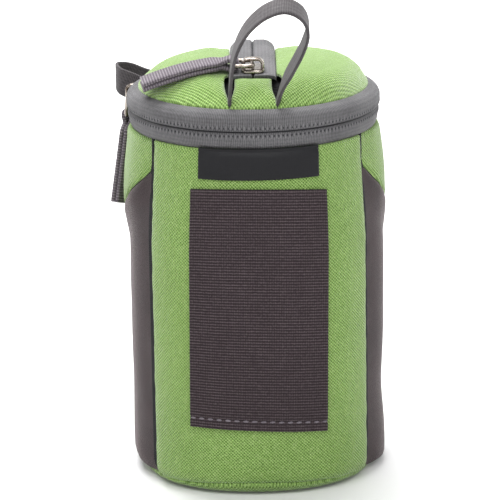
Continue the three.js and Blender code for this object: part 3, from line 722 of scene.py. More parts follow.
def base_seam(angle):
    """The base's seam waves below the front panel and lies low at the sides."""
    edge = front_edge(angle)
    low = smoothstep(np.abs(angle), edge - FOOT_ROUND, edge)
    return np.where(np.abs(angle) < edge, lerp(wavy_seam(angle), SIDE_FOOT, low), SIDE_FOOT)


def front_foot(angle):
    """Lower edge of the front panel, with rounded corners."""
    corner = np.clip((np.abs(angle) - front_edge(angle)) / FOOT_ROUND + 1, 0, 1)
    return wavy_seam(angle) + FOOT_ROUND * (1 - np.sqrt(1 - corner**2))


def crease_shade_strip(sign):
    """A dark strip in the crease between a side panel and the front: painted shade of the crease."""
    z = np.linspace(SIDE_FOOT, PANEL_TOP, 80)
    forward = FOOT_ROUND * (1 - smoothstep(z, SIDE_FOOT, BASE_CORNER))
    turn = sign * (front_edge(sign) + SHADE_STRIP_ASIDE - forward)
    path = around(body_radius(turn, z) - SLOPE_DEPTH + SHADE_STRIP_OUT, turn, z)
    section = np.repeat(strap_section(*SHADE_STRIP, 2)[None], len(z), 0)
    section[..., 0] *= (1 - CREASE * smoothstep(z, *CREASE_RANGE))[:, None]
    return sweep(path, outward(turn + 90), section)


def hem_shade_line(sign):
    """A dark strip below a shoulder panel: painted shade under its hem."""
    turn = sign * np.linspace(front_edge(sign) + 2, BACK_SEAM - 1, 50)
    radius = body_radius(turn, side_seam(turn)) + shoulder_puff(turn, 0) - front_slope(turn)
    path = around(radius - HEM_DEPTH + HEM_SHADE_OUT, turn, side_seam(turn))
    return sweep(path, UP, strap_section(*HEM_SHADE, 2))


front = wall_panel(-front_edge(-1), front_edge(1), front_foot, panel_top, 1)
add_sheet("front_fabric", front, "green_fabric", ["front_panel"], (0.1, 0.14), "pouch")
for side, sign in SIDES:
    spans = sorted((sign * front_edge(sign), sign * BACK_SEAM))
    part = wall_panel(*spans, base_seam, side_seam, 2, side_lift, True)
    nodes = [f"{side}_side_panel"]
    add_sheet(f"{side}_side_cloth", part, "side_fabric", nodes, (0.062, 0.13), "pouch", area=0.0069)
    part = wall_panel(*spans, side_seam, panel_top, 3, shoulder_puff, True)
    nodes = [f"{side}_shoulder_panel"]
    add_sheet(f"{side}_shoulder_cloth", part, "green_fabric", nodes, (0.062, 0.046), "pouch", area=0.002)
    part = wall_panel(*sorted((sign * BACK_SEAM, sign * STRIP_ANGLE)), base_seam, panel_top, 4)
    add_sheet(f"back_{side}_cloth", part, "green_fabric", [f"back_{side}_panel"], (0.042, 0.14), "pouch")
    # a dark strip painted as the shade in the crease beside the front panel
    add_piece(f"{side}_crease_shade_strip", [crease_shade_strip(sign)], "lining", body="pouch")
    # a dark strip painted as the shade under the shoulder panel's hem
    add_piece(f"{side}_hem_shade_line", [hem_shade_line(sign)], "lining", body="pouch")
foot = wall_panel(STRIP_ANGLE, 360 - STRIP_ANGLE, base_seam, zip_foot, 5)
add_sheet("back_foot_cloth", foot, "green_fabric", ["back_foot_panel"], (0.019, 0.015), "pouch")


# Base and padding: an outer dish of fabric, a pad on it and the wall's lining
DISH_INSIDE = 0.985  # the dish's inner face against its outer one
BASE_PAD = (42.6, 1.6, 7.2, 0.5)  # radius, lower and upper height, unevenness
PAD_FLAT = 0.86  # share of a pad's radius inside its rounded rim
PAD_RIPPLE = 14
FOAM_DEPTH = 4.4  # depth of the padding's outer face in the wall
SLEEVE_FOOT = 9.5
SLEEVE_END = 173.7
GROOVE = 0.8  # depth of the lining's grooves at the seams
GROOVE_HALF = 4 / 3  # degrees
LINING_RIPPLE = 0.5


def dish():
    angle = np.linspace(-180, 180, 241)
    flat = np.linspace(0, BODY_RADIUS - BASE_CORNER, 14)
    top = np.arccos((BASE_CORNER - base_seam(angle)) / BASE_CORNER)
    share = (spaced(BASE_CORNER, 0.8) / BASE_CORNER)[4:, None]
    turn = top * share
    roll = draw_in(BASE_CORNER * (top - turn), HEM_WIDTH, HEM_DEPTH)
    corner = BODY_RADIUS - BASE_CORNER + (BASE_CORNER - roll) * np.sin(turn)
    rise = BASE_CORNER - (BASE_CORNER - roll) * np.cos(turn)
    level_rows = np.broadcast_to(flat[:, None], (len(flat), len(angle)))
    radius = np.concatenate([level_rows, corner]) * plan_swell(angle)
    z = np.concatenate([np.zeros_like(level_rows), rise])
    outer = around(radius, angle, z)
    return shell(outer, around(radius * DISH_INSIDE, angle, z + FABRIC), outer[..., :2])


def round_pad(radius, low, high, puff):
    """A round pad with a soft rim and a slightly uneven face."""
    angle = np.linspace(-180, 180, 97)
    soft_rim = 1 - PAD_FLAT
    rim_steps = 1 - np.linspace(0, 1, 9)[1:]
    share = np.concatenate([np.linspace(0, PAD_FLAT, 12), 1 - soft_rim * rim_steps**2])[:, None]
    from_flat = ((share - PAD_FLAT) / soft_rim).clip(0, 1)
    rim = (high - low) / 2 * np.sqrt(np.clip(1 - from_flat**2, 0, 1))
    middle = (low + high) / 2
    flat = around(radius * share, angle, 0.0)
    soft = puff * ripple(flat, PAD_RIPPLE, 6) * (1 - share**6)
    outer = flat + UP * (middle + rim + soft)[..., None]
    inner = flat + UP * (middle - rim)[..., None]
    return shell(outer, inner, flat[..., :2])


def wall_sleeve():
    """The padded lining of the wall, with a rounded lip, open behind the back zip."""
    half = (LINING_DEPTH - FOAM_DEPTH) / 2
    rows = np.linspace(SLEEVE_FOOT, PADDING_TOP - half, 44)
    lip = np.radians(np.linspace(0, 180, 11))[1:-1]
    angle = np.linspace(-SLEEVE_END, SLEEVE_END, 175)
    lip_depth = FOAM_DEPTH + half - half * np.cos(lip)
    depth = np.concatenate([0 * rows + FOAM_DEPTH, lip_depth, 0 * rows + LINING_DEPTH])[:, None]
    z = np.concatenate([rows, PADDING_TOP - half + half * np.sin(lip), rows[::-1]])[:, None]
    radius = body_radius(angle, z) - depth
    flat = around(radius, angle, z)
    inside = smoothstep(depth, LINING_DEPTH - 1, LINING_DEPTH)
    turn = np.abs(angle)
    seam = np.minimum(np.abs(turn - front_edge(angle)), np.abs(turn - BACK_SEAM))
    groove = GROOVE * np.exp(-((seam / GROOVE_HALF) ** 2))
    radius = radius + inside * (groove - LINING_RIPPLE * np.abs(ripple(flat, 18, 7)))
    points = around(radius, angle, z)
    place = np.arange(points[..., 0].size).reshape(points.shape[:2])
    faces = quads(np.concatenate([place, place[:1]])).tolist()
    faces += [place[:, 0].tolist(), place[::-1, -1].tolist()]
    uv = stacked(np.radians(angle) * BODY_RADIUS, z)
    return points.reshape(-1, 3), faces, uv.reshape(-1, 2)


add_sheet("base_fabric", dish(), "green_fabric", ["base_panel"], (0.098, 0.098), "pouch", area=0.0078)
base_pad = add_piece("base_pad", [round_pad(*BASE_PAD)], "lining", ["base_foam", "base_lining"], "pouch")
sleeve = add_piece("wall_padding", [wall_sleeve()], "lining", ["wall_foam", "wall_lining"], "pouch")


# Zip round the rim: tapes, stitching and coils
TAPE_SWELL = 0.45  # a tape's middle stands out this much
TAPE_RIPPLE = 0.18
STITCH_ROW = 1.8  # distance of the stitches from the middle of the zip
HOLE_SHADE_ROW = 1.5
BAND_ROWS = (  # a tape's name, body, side of the zip and the radius of its stitches
    ("lower", "pouch", -1, BAND_RADIUS - 0.25),
    ("upper", "lid", 1, BAND_RADIUS + 0.2),
)
COIL_STEPS = 8  # points in a turn


def band(low, high, radius_at, start, end, seed, slit_low=False, slit_high=False):
    """A tape between two heights and two angles; a slit edge lies beside the zip's gap."""
    width = high - low
    up = spaced(width, 0.9)
    z = (low + up)[:, None]
    angle = np.linspace(start, end, round(end - start) + 1)
    at_low = draw_in(up, *(SLIT_ROLL if slit_low else TAPE_ROLL))
    at_high = draw_in(width - up, *(SLIT_ROLL if slit_high else TAPE_ROLL))
    swell = TAPE_SWELL * np.sin(math.pi * up / width)
    radius = radius_at(z) + (swell - at_low - at_high)[:, None]
    flat = around(radius, angle, z)
    radius = radius + TAPE_RIPPLE * ripple(flat, 9, seed)
    uv = stacked(z, np.radians(angle) * BAND_RADIUS)
    return shell(around(radius, angle, z), around(radius - TAPE, angle, z), uv)


def lower_band_radius(z):
    return BAND_RADIUS - LOWER_STEP - LOWER_TUCK * (SEAM_HEIGHT - z) / (SEAM_HEIGHT - BAND_LOW)


def rim_line(radius, angle, height):
    """A line round the rim, the way up along it and the way out."""
    path = around(radius, angle, height)
    return path, np.broadcast_to(UP, path.shape), outward(angle)


def stitch_row(height, radius, shift, size):
    """Stitches round the rim, shifted by a share of their pitch."""
    start, end = COIL_START, ZIP_END - 4
    count = round(math.radians(end - start) * BAND_RADIUS / STITCH_PITCH)
    angle = start + (end - start) * (np.arange(count) + shift) / count
    return stitches(*rim_line(radius, angle, height), size)


def coil(path, across, out):
    """A helix of wire behind a flat cord, along a path."""
    length = run_length(path)
    turns = round(length[-1] / COIL_PITCH)
    places = np.linspace(0, length[-1], turns * COIL_STEPS + 1)

    def spread(grid):
        return np.stack([np.interp(places, length, column) for column in grid.T], -1)

    turn = np.arange(len(places))[:, None] * 2 * math.pi / COIL_STEPS
    middle = spread(path)
    wire = middle + COIL_HALF * (spread(across) * np.cos(turn) + spread(out) * np.sin(turn))
    helix = sweep(wire, unit(np.gradient(middle, axis=0)), round_section(COIL_WIRE, 5))
    return [helix, sweep(path + out * CORE_OUT, across, strap_section(*COIL_CORE, 2))]


def rim_coil(height):
    angle = np.linspace(COIL_START + 3, ZIP_END - 3, 200)
    return coil(*rim_line(BAND_RADIUS - COIL_DEPTH, angle, height))


tape = band(BAND_LOW, SEAM_HEIGHT - SLIT, lower_band_radius, -ZIP_END, ZIP_END, 8, slit_high=True)
add_sheet("lower_band", tape, "zip_tape", ["lower_zip_tape"], (0.26, 0.01), "pouch", area=0.0021)
tape = band(SEAM_HEIGHT + SLIT, RIM_HEIGHT, upper_band_radius, -ZIP_END, ZIP_END, 9, slit_low=True)
add_sheet("upper_band", tape, "zip_tape", ["upper_zip_tape"], (0.26, 0.011), "lid", area=0.0028)
for name, body, sign, radius in BAND_ROWS:
    thread = stitch_row(SEAM_HEIGHT + sign * STITCH_ROW, radius, 0, STITCH)
    add_piece(f"{name}_band_stitches", thread, "zip_tape", body=body)
    # dark bumps between the stitches: painted shade of the needle holes
    painted_hole_shade = stitch_row(SEAM_HEIGHT + sign * HOLE_SHADE_ROW, radius, 0.5, HOLE_SHADE)
    add_piece(f"{name}_band_holes", painted_hole_shade, "zip_coil", body=body)
for name, body, sign, radius in BAND_ROWS:
    part = rim_coil(SEAM_HEIGHT + sign * COIL_OFFSET)
    add_piece(f"{name}_coil", part, "zip_coil", [f"{name}_zip_coil"], body)

# Fabric hinges beside the back zip, reaching from the pouch to the lid
HINGE_START = (0, BAND_RADIUS * MM, 0.1425)
HINGE_END = (0, BAND_RADIUS * MM, 0.1515)
HINGE = ("pouch", "lid", HINGE_START, HINGE_END)


def hinge_radius(z):
    return np.where(z < UPPER_LOW, BAND_RADIUS, upper_band_radius(z))


for side, sign in SIDES:
    leaf = band(BAND_LOW, RIM_HEIGHT, hinge_radius, *sorted((sign * ZIP_END, sign * STRIP_ANGLE)), 10)
    nodes = [f"{side}_hinge_lower", f"{side}_hinge_upper"]
    add_sheet(f"{side}_hinge_cloth", leaf, "zip_tape", nodes, (0.018, 0.0165), bend=HINGE)


# The back zip: tapes and coils in one length each, from the foot over the rim to the front of the lid
STRIP_FLAT = 4.5  # half the width that stays level across the lid
STRIP_HEM = 3.4  # length of the hem at the front end
STRIP_HEM_RISE = 0.45
STRIP_END_ROLL = (0.6, 0.5)  # width and depth of the rolled edges
STRIP_SLIT_ROLL = (1.0, 0.8)
STRIP_SIDE_ROLL = (1.3, 0.7)
HEM_PLACES = (3.6, 3.2, 2.8, 2.2, 1.2, 0.5, 0.2, 0)  # distances of its points from the front end
RIM_CURVE = 1.4  # spacing of the points over the rim
COIL_SPAN = slice(3, -7)  # the coils stop short of both ends


def middle_path():
    """The zip's middle line, how far its edges fall on the lid and how far they follow the wall's curve."""
    wall_z = np.linspace(ZIP_FOOT, PANEL_TOP, 64)
    band_z = np.linspace(PANEL_TOP, RIM_HEIGHT, 14)[1:]
    falling = RIM_RADIUS - (RIM_RADIUS - CREST_BACK) * np.linspace(0, 1, 14)[1:] ** RIM_CURVE
    hem = np.array(HEM_PLACES) - ZIP_FRONT
    level_y = np.concatenate([falling, np.linspace(CREST_BACK, hem[0], 28)[1:-1], hem])
    y = np.concatenate([body_radius(180, wall_z), hinge_radius(band_z), level_y])
    z = np.concatenate([wall_z, band_z, crest_height(level_y)])
    fall = np.maximum(0, crest_height(level_y) - crown_height(np.hypot(STRIP_HALF, level_y)))
    fall = fall * np.clip((RIM_RADIUS - level_y) / (RIM_RADIUS - CREST_BACK), 0, 1)
    upright = np.ones(len(wall_z) + len(band_z))
    fall = np.concatenate([0 * upright, fall])
    wrap = np.concatenate([upright, smoothstep(level_y, CREST_BACK, RIM_RADIUS)])
    return stacked(0.0, y, z), fall, wrap


middle_line, middle_fall, middle_wrap = middle_path()
middle_out = np.cross(unit(np.gradient(middle_line, axis=0)), RIGHT)
middle_length = run_length(middle_line)


def zip_strip(sign):
    aside = SLIT + spaced(STRIP_HALF - SLIT, 0.8)
    share = np.clip((aside - STRIP_FLAT) / (STRIP_HALF - STRIP_FLAT), 0, 1) ** 2
    curve = middle_wrap[:, None] * (BAND_RADIUS - np.sqrt(BAND_RADIUS**2 - aside**2))
    left = middle_length[-1] - middle_length
    hem = STRIP_HEM_RISE * smoothstep(STRIP_HEM - left, 0, 0.5) - draw_in(left, *STRIP_END_ROLL)
    roll = draw_in(aside - SLIT, *STRIP_SLIT_ROLL) + draw_in(STRIP_HALF - aside, *STRIP_SIDE_ROLL)
    relief = (hem[:, None] - roll)[..., None]
    flat = middle_line[:, None] + stacked(sign * aside, -curve, -middle_fall[:, None] * share)
    out = middle_out[:, None]
    outer = flat + out * relief
    return shell(outer, outer - out * TAPE, stacked(sign * aside, middle_length[:, None]))


def zip_coil(sign):
    out = middle_out[COIL_SPAN]
    path = middle_line[COIL_SPAN] - out * COIL_DEPTH + RIGHT * sign * COIL_OFFSET
    return coil(path, np.broadcast_to(RIGHT, path.shape), out)


for side, sign in SIDES:
    nodes = [f"back_zip_tape_{side}", f"lid_zip_tape_{side}"]
    add_sheet(f"{side}_back_zip", zip_strip(sign), "zip_tape", nodes, (0.0102, 0.227), bend=HINGE)
    nodes = [f"back_zip_coil_{side}", f"lid_zip_coil_{side}"]
    teeth = add_piece(f"{side}_back_coil", zip_coil(sign), "zip_coil", nodes)
    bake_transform(teeth)


# Lid: two panels and a front strip, gathered into pits where the carry loop is sewn in
PILLOW = 1.6  # the fabric rises this much away from its edges
PILLOW_WIDTH = 10
FULL_RIGHT = 1.9  # and this much more beside its right edge
FULL_RISE = (0.3, 3.5)  # distances from the edge where that starts and is full
FULL_FALL = (5, 14)  # and where it falls again
FULL_DROP = 0.7  # by this share
FULL_X = (15, 35)  # places to the right where it starts and is full
PIT_Y = (-46, -44, -30.5, -27)  # where a pit starts, is full, fades and ends
PIT_DEEP_Y = -33
PIT_DEPTH = (1, 3)  # from the band to the zip
PIT_WIDTH = (0.6, 3.4)
PIT_FLOOR = 0.1  # share of its width that is level
OPENING = 2  # half the widest gap beside the zip's front end
OPENING_Y = (-44, -30, -27, -20)  # where it starts, is widest, narrows and ends
LID_EDGE = STRIP_HALF + GAP / 2
LID_STEP = 1.4
STRIP_STEP = 1.2
STRIP_LENGTH = 18


def pit(x, y):
    """Depth of the gathers at the carry loop's seams."""
    share = smoothstep(y, PIT_Y[1], PIT_DEEP_Y)
    wide = lerp(*PIT_WIDTH, share)
    aside = np.abs(np.abs(x) - LID_EDGE)
    return lerp(*PIT_DEPTH, share) * between(y, *PIT_Y) * (1 - smoothstep(aside, PIT_FLOOR * wide, wide))


def opening(y):
    return OPENING * between(y, *OPENING_Y)


def lid_relief(x, y, edge):
    """Height of the lid's fabric, fuller at its right edge, from its place and its distance to any edge."""
    pillow = smoothstep(edge, 0, PILLOW_WIDTH)
    height = crown_height(np.hypot(x, y)) + PILLOW * pillow - draw_in(edge, HEM_WIDTH, LID_HEM)
    full = smoothstep(edge, *FULL_RISE) * (1 - FULL_DROP * smoothstep(edge, *FULL_FALL))
    flat = stacked(x, y, height)
    soft = RIPPLE * ripple(flat, 22, 11) * pillow + gather(flat, edge, 12)
    return height + FULL_RIGHT * full * smoothstep(x, *FULL_X) - pit(x, y) + soft


def lid_cloth(x, y, edge):
    grid = stacked(x, y, lid_relief(x, y, edge))
    return shell(grid, grid - UP * FABRIC, grid[..., :2])


def half_disc(radius, edge, step):
    """Places along the straight and the round side of half a disc, beside the zip."""
    corner = math.degrees(math.asin(edge / radius))
    reach = math.sqrt(radius**2 - edge**2)
    along = spaced(2 * reach, step) / (2 * reach)
    return stacked(edge, reach * (2 * along - 1), 0.0), around(radius, lerp(corner, 180 - corner, along), 0.0)


def lid_side(sign):
    line, arc = half_disc(LID_RADIUS, LID_EDGE, LID_STEP)
    line[:, 0] += opening(line[:, 1])
    width = LID_RADIUS - LID_EDGE
    grid = lerp(line, arc, (spaced(width, LID_STEP) / width)[:, None, None])
    x, y = grid[..., 0], grid[..., 1]
    edge = np.minimum(x - LID_EDGE, LID_RADIUS - np.hypot(x, y)).clip(0)
    return lid_cloth(sign * x, y, edge)


def lid_front():
    x = spaced(2 * LID_EDGE, STRIP_STEP) - LID_EDGE
    back = -ZIP_FRONT - GAP
    front_y = -np.sqrt(LID_RADIUS**2 - x**2)
    y = lerp(back, front_y, (spaced(STRIP_LENGTH, STRIP_STEP) / STRIP_LENGTH)[:, None])
    edge = np.minimum(LID_EDGE - np.abs(x), np.minimum(back - y, y - front_y))
    return lid_cloth(x * (1 - opening(y) / LID_EDGE), y, edge)


for side, sign in SIDES:
    nodes = [f"lid_{side}_panel"]
    add_sheet(f"lid_{side}_cloth", lid_side(sign), "green_fabric", nodes, (0.038, 0.09), "lid", area=0.0026)
nodes = ["lid_front_panel"]
add_sheet("lid_front_cloth", lid_front(), "green_fabric", nodes, (0.026, 0.02), "lid", area=0.00042)


# Padding of the lid, in two halves beside the zip, and a dark facing round it
PAD_EDGE = 5.6  # distance of each half from the middle
PAD_STEP = 2
PAD_LENGTH = 30
PAD_UNDER = 3.2  # depth of its upper face below the crown, measured further out
PAD_CROWN_OUT = 3
PAD_ROLL = (4.5, 3)  # width and depth of its rounded edge
PAD_SOFT = 0.5  # its unevenness
PAD_SOFT_RANGE = (1, 8)  # distances from its edge where that starts and is full
PAD_THINNEST = 0.6
LID_FACING = (44, 152.3)  # radius and height
FACING = (4.4, 0.8)  # width and thickness


def pad_half(sign):
    line, arc = half_disc(LID_PAD_RADIUS, PAD_EDGE, PAD_STEP)
    grid = lerp(line, arc, (spaced(PAD_LENGTH, PAD_STEP) / PAD_LENGTH)[:, None, None]) * (sign, 1, 1)
    x, y = grid[..., 0], grid[..., 1]
    edge = np.minimum(np.abs(x - sign * PAD_EDGE), LID_PAD_RADIUS - np.hypot(x, y))
    soft = PAD_SOFT * ripple(grid, PAD_RIPPLE, 13 + sign) * smoothstep(edge, *PAD_SOFT_RANGE)
    low = LID_PAD_LOW + draw_in(edge.clip(0), *PAD_ROLL) + soft
    high = crown_height(np.hypot(x, y) + PAD_CROWN_OUT) - PAD_UNDER - pit(x, y)
    return shell(stacked(x, y, np.maximum(high, low + PAD_THINNEST)), stacked(x, y, low), grid[..., :2])


lid_pad = add_piece("lid_pad", [pad_half(-1), pad_half(1)], "lining", ["lid_foam", "lid_lining"], "lid")
turn = np.linspace(-180, 180, 97)
ring = around(LID_FACING[0], turn[:-1], LID_FACING[1])
facing = sweep(ring, outward(turn), strap_section(*FACING, 2), True)
add_piece("lid_facing", [facing], "lining", body="lid")


# Wide webbing and a bare label on the front
PATCH_SHIFT = -0.1
PATCH_LEAN = 0.014
PATCH_TILT = (0.052, 0.025)  # slope of the wide webbing's rows at its foot and its top
PATCH_BOW = (0.7, 1.45)  # how far their middles are drawn up
PATCH_STEP = 1.5
PATCH_ROLL = (0.9, 0.7)  # width and depth of a sewn piece's edge
SELVAGE = 0.25  # height of the ridge beside each long edge
SELVAGE_ASIDE = 1.2
STITCH_LINE = 31
STITCH_GROOVE = (0.4, 0.6)  # depth and half width
STITCH_ENDS = 25.5
STITCH_COUNT = 16
STITCH_SUNK = 0.4
WEBBING_STITCH = (2.3, 0.9, 0.5)
LABEL_THICK = 0.8
LABEL_WAVE = (0.12, 9)  # height and length
LABEL_TUCK = 1.1  # its top goes this far in under the band
LABEL_TUCK_RANGE = (9.5, 12)


def patch_angle(aside, z):
    """Angle of a place on the front, whose sewn pieces lean a little to the right."""
    return np.degrees((aside + PATCH_SHIFT + PATCH_LEAN * z) / BODY_RADIUS)


def webbing_height(aside, z):
    """Height of a place on the wide webbing, whose rows slope and bow a little."""
    width, low, high = FRONT_WEBBING
    share = (z - low) / (high - low)
    return z - lerp(*PATCH_TILT, share) * aside + lerp(*PATCH_BOW, share) * (1 - (2 * aside / width) ** 2)


def level_height(aside, z):
    return z + 0 * aside


def front_patch(width, low, high, thickness, relief, step_up, height=level_height):
    """A piece sewn on the front, with a relief of its own."""
    aside = spaced(width, PATCH_STEP)
    up = spaced(high - low, step_up)[:, None]
    z = height(aside - width / 2, low + up)
    angle = patch_angle(aside - width / 2, z)
    edge = np.minimum(np.minimum(aside, width - aside), np.minimum(up, high - low - up))
    base_radius = body_radius(angle, z) + GAP
    radius = base_radius + thickness + relief(aside, up) - draw_in(edge, *PATCH_ROLL)
    return shell(around(radius, angle, z), around(base_radius, angle, z), stacked(aside, up))


def rib_wave(length, pitch):
    """Rounded ribs along a length, 0 on their crests and -1 between them."""
    return np.sqrt(0.5 - 0.5 * np.cos(2 * math.pi * length / pitch)) - 1


def ribs(aside, up):
    width, low = FRONT_WEBBING[:2]
    selvage = SELVAGE * np.exp(-((np.minimum(aside, width - aside) - SELVAGE_ASIDE) ** 2))
    groove = STITCH_GROOVE[0] * np.exp(-(((up + low - STITCH_LINE) / STITCH_GROOVE[1]) ** 2))
    return RIB_HEIGHT * rib_wave(up, RIB_PITCH) + selvage - groove


def plain(aside, up):
    """Nearly flat, tucked in under the band at the top."""
    return LABEL_WAVE[0] * np.cos(aside / LABEL_WAVE[1]) - LABEL_TUCK * smoothstep(up, *LABEL_TUCK_RANGE)


def webbing_thread():
    aside = np.linspace(-STITCH_ENDS, STITCH_ENDS, STITCH_COUNT)
    z = webbing_height(aside, STITCH_LINE)
    angle = patch_angle(aside, z)
    places = around(body_radius(angle, z) + GAP + WEBBING - STITCH_SUNK, angle, z)
    out = outward(angle)
    return stitches(places, np.cross(UP, out), out, WEBBING_STITCH)


wide = front_patch(*FRONT_WEBBING, WEBBING, ribs, RIB_PITCH / 6, webbing_height)
add_sheet("wide_webbing", wide, "wide_webbing", ["front_webbing"], (0.054, 0.0964), "pouch")
add_piece("webbing_stitches", webbing_thread(), "puller_webbing", body="pouch")
label = front_patch(*LABEL, LABEL_THICK, plain, PATCH_STEP)
add_sheet("bare_label", label, "label", ["front_label"], (0.048, 0.0121), "pouch")

# Loops of webbing
CARRY_POINTS = 121
CARRY_NECK = (0.02, 0.14)  # shares of its length where it widens
SIDE_POINTS = 81
SIDE_BOW = ((0.5, -1), (0.85, -0.8), (1, 0), (0.85, 0.8), (0.5, 1))  # shares of its reach and half width


def strap(path, across, widths, thickness, rib=0.0, pitch=1.0):
    """A flat strap with rounded edges; its ribs cross its length."""
    section = np.repeat(strap_section(LOOP_WIDTH, thickness)[None], len(path), 0)
    section[..., 0] *= (widths / LOOP_WIDTH)[:, None]
    section[..., 1] *= (1 + rib / thickness * 2 * rib_wave(run_length(path), pitch))[:, None]
    return sweep(path, across, section)


tip = math.radians(LOOP_LEAN)
leaning = np.array([0, -math.sin(tip), math.cos(tip)])
root = np.array([0, *LOOP_END[1:]])
path = smooth_curve([root + RIGHT * (x - LOOP_END[0]) + leaning * up for x, up in LOOP_OUTLINE], CARRY_POINTS)
share = np.linspace(0, 1, CARRY_POINTS)
widths = lerp(LOOP_NECK, LOOP_WIDTH, smoothstep(np.minimum(share, 1 - share), *CARRY_NECK))
carry = strap(path, np.cross(leaning, RIGHT), widths, WEBBING)
flex = ("lid", "carry_loop", tuple(root * MM), tuple((root + leaning * LOOP_FLEX) * MM))
add_sheet(
    "carry_strap", carry, "loop_webbing", ["carry_loop"], (0.011, 0.115),
    bend=flex, held="folded", area=0.0012,
)

heading = around(1, SIDE_LOOP_HEADING, math.tan(math.radians(SIDE_LOOP_TILT)))
sideways = np.array([-heading[1], heading[0], 0])
middle = around(BAND_RADIUS, SIDE_LOOP_ANGLE, SIDE_LOOP_HEIGHT)
reach, half = heading * SIDE_LOOP_REACH, sideways * SIDE_LOOP_HALF
bow = [middle + reach * out + half * aside for out, aside in SIDE_BOW]
ends = [
    around(BAND_RADIUS + SIDE_LOOP_STANDOFF, SIDE_LOOP_ANGLE + sign * SIDE_LOOP_SPREAD, SIDE_LOOP_HEIGHT)
    for side, sign in SIDES
]
path = smooth_curve([ends[0], *bow, ends[1]], SIDE_POINTS)
side_strap = strap(path, UP, np.full(SIDE_POINTS, LOOP_WIDTH), WEBBING)
add_sheet("side_strap", side_strap, "loop_webbing", ["side_loop"], (0.011, 0.056), "pouch", held="folded")

# Sliders, links and folded tabs, in a slider's own frame: X across the tapes, Y along the zip, Z out
PLATE_BEVEL = 0.4
POST = ((-0.25, 3), (0.25, 3), (0.25, 5), (-0.25, 5))
POST_BEVEL = 0.05
POST_SUNK = 0.3  # in each plate
BRIDGE = (3.6, 1.3)  # width and thickness of the arch over the link
BRIDGE_LEG = ((3.7, 1.1), (3.7, 3.5), (2.6, 4.8))  # places aside and heights, from its foot up
BRIDGE_TOP = 4.95
LINK_CORNER = 1.2
LINK_FULL = 0.15  # the wire's radius is this much larger than the model's
TAB_EYE = 0.25  # slack of a fold round the link's far bar
TAB_APART = 0.1  # gap between a tab's layers
TAB_ROW = 8  # points along a layer that its curve goes through
FOLD_ANGLES = (-110, -60, 0, 60, 110)
TAB_POINTS = 420
TAB_RIB = (0.06, 1.1)  # height and pitch


def slider_parts():
    half, end = SLIDER_WIDTH / 2, SLIDER_LENGTH / 2
    nose = half / 2
    turn = np.linspace(0, 1, 6)[1:]
    keep, swing = (1 - turn) ** 2, 2 * turn * (1 - turn)
    curve = np.stack([keep * nose + (swing + turn**2) * half, -end * (keep + swing + turn**2 / 4)], -1)
    edge = [(nose, -end), *curve.tolist(), (half, end)]
    outline = [(-nose, -end), *edge, *[(-x, y) for x, y in edge[:0:-1]]]
    plates = [prism(outline, low, low + PLATE, PLATE_BEVEL) for low in (PLATE_LOW, LOW_PLATE - PLATE)]
    post = prism(POST, LOW_PLATE - POST_SUNK, PLATE_LOW + POST_SUNK, POST_BEVEL)
    left, right = [[(sign * x, 0, z) for x, z in BRIDGE_LEG] for side, sign in SIDES]
    arch = [*left, (0, 0, BRIDGE_TOP), *right[::-1]]
    bridge = sweep(smooth_curve(arch, 41), np.array([0.0, 1.0, 0.0]), strap_section(*BRIDGE, 4))
    return [*plates, post, bridge]


def link_part():
    half, bend = (LINK_WIDTH - LINK_WIRE) / 2, LINK_CORNER
    far, near, side = bend - FAR_BAR, -bend, half - bend
    corners = np.array([(near, side), (far, side), (far, -side), (near, -side)])
    turn = np.radians(np.linspace(0, 90, 7) + 90 * np.arange(4)[:, None])
    path = stacked(corners[:, :1] + bend * np.cos(turn), corners[:, 1:] + bend * np.sin(turn), 0.0)
    return sweep(path.reshape(-1, 3), UP, round_section(LINK_WIRE / 2 + LINK_FULL, 12), closed=True)


def tab_part(bend, roll):
    """A tab's two layers and the fold round the link's far bar."""
    eye = LINK_WIRE / 2 + GAP + TAB_WEBBING / 2 + TAB_EYE
    apart = (TAB_THICK + TAB_APART) / 2
    lengths = np.linspace(2 * eye, TAB_LENGTH - 1, TAB_ROW)
    drift, droop = bend((lengths - 2 * eye) / (TAB_LENGTH - 2 * eye))
    lower, upper = [stacked(-FAR_BAR - lengths, drift, droop + shift) for shift in (-apart, apart)]
    turn = np.radians(FOLD_ANGLES)
    fold = stacked(eye * np.cos(turn) - FAR_BAR, 0.0, eye * np.sin(turn))
    path = smooth_curve([*lower[::-1], *fold, *upper], TAB_POINTS)
    length = run_length(path)
    from_fold = np.abs(2 * length / length[-1] - 1)
    widths = lerp(TAB_NECK, TAB_WIDTH, smoothstep(from_fold, *TAB_WIDEN))
    turn = math.radians(roll) * smoothstep(from_fold, *TAB_ROLL_RANGE)
    return strap(path, stacked(0.0, np.cos(turn), np.sin(turn)), widths, TAB_THICK, *TAB_RIB)


def top_bend(share):
    return -TOP_TAB_DRIFT * share, -TOP_TAB_DROOP * share**TAB_BEND


def band_bend(share):
    return -BAND_TAB_DRIFT * share, -BAND_TAB_TUCK * share


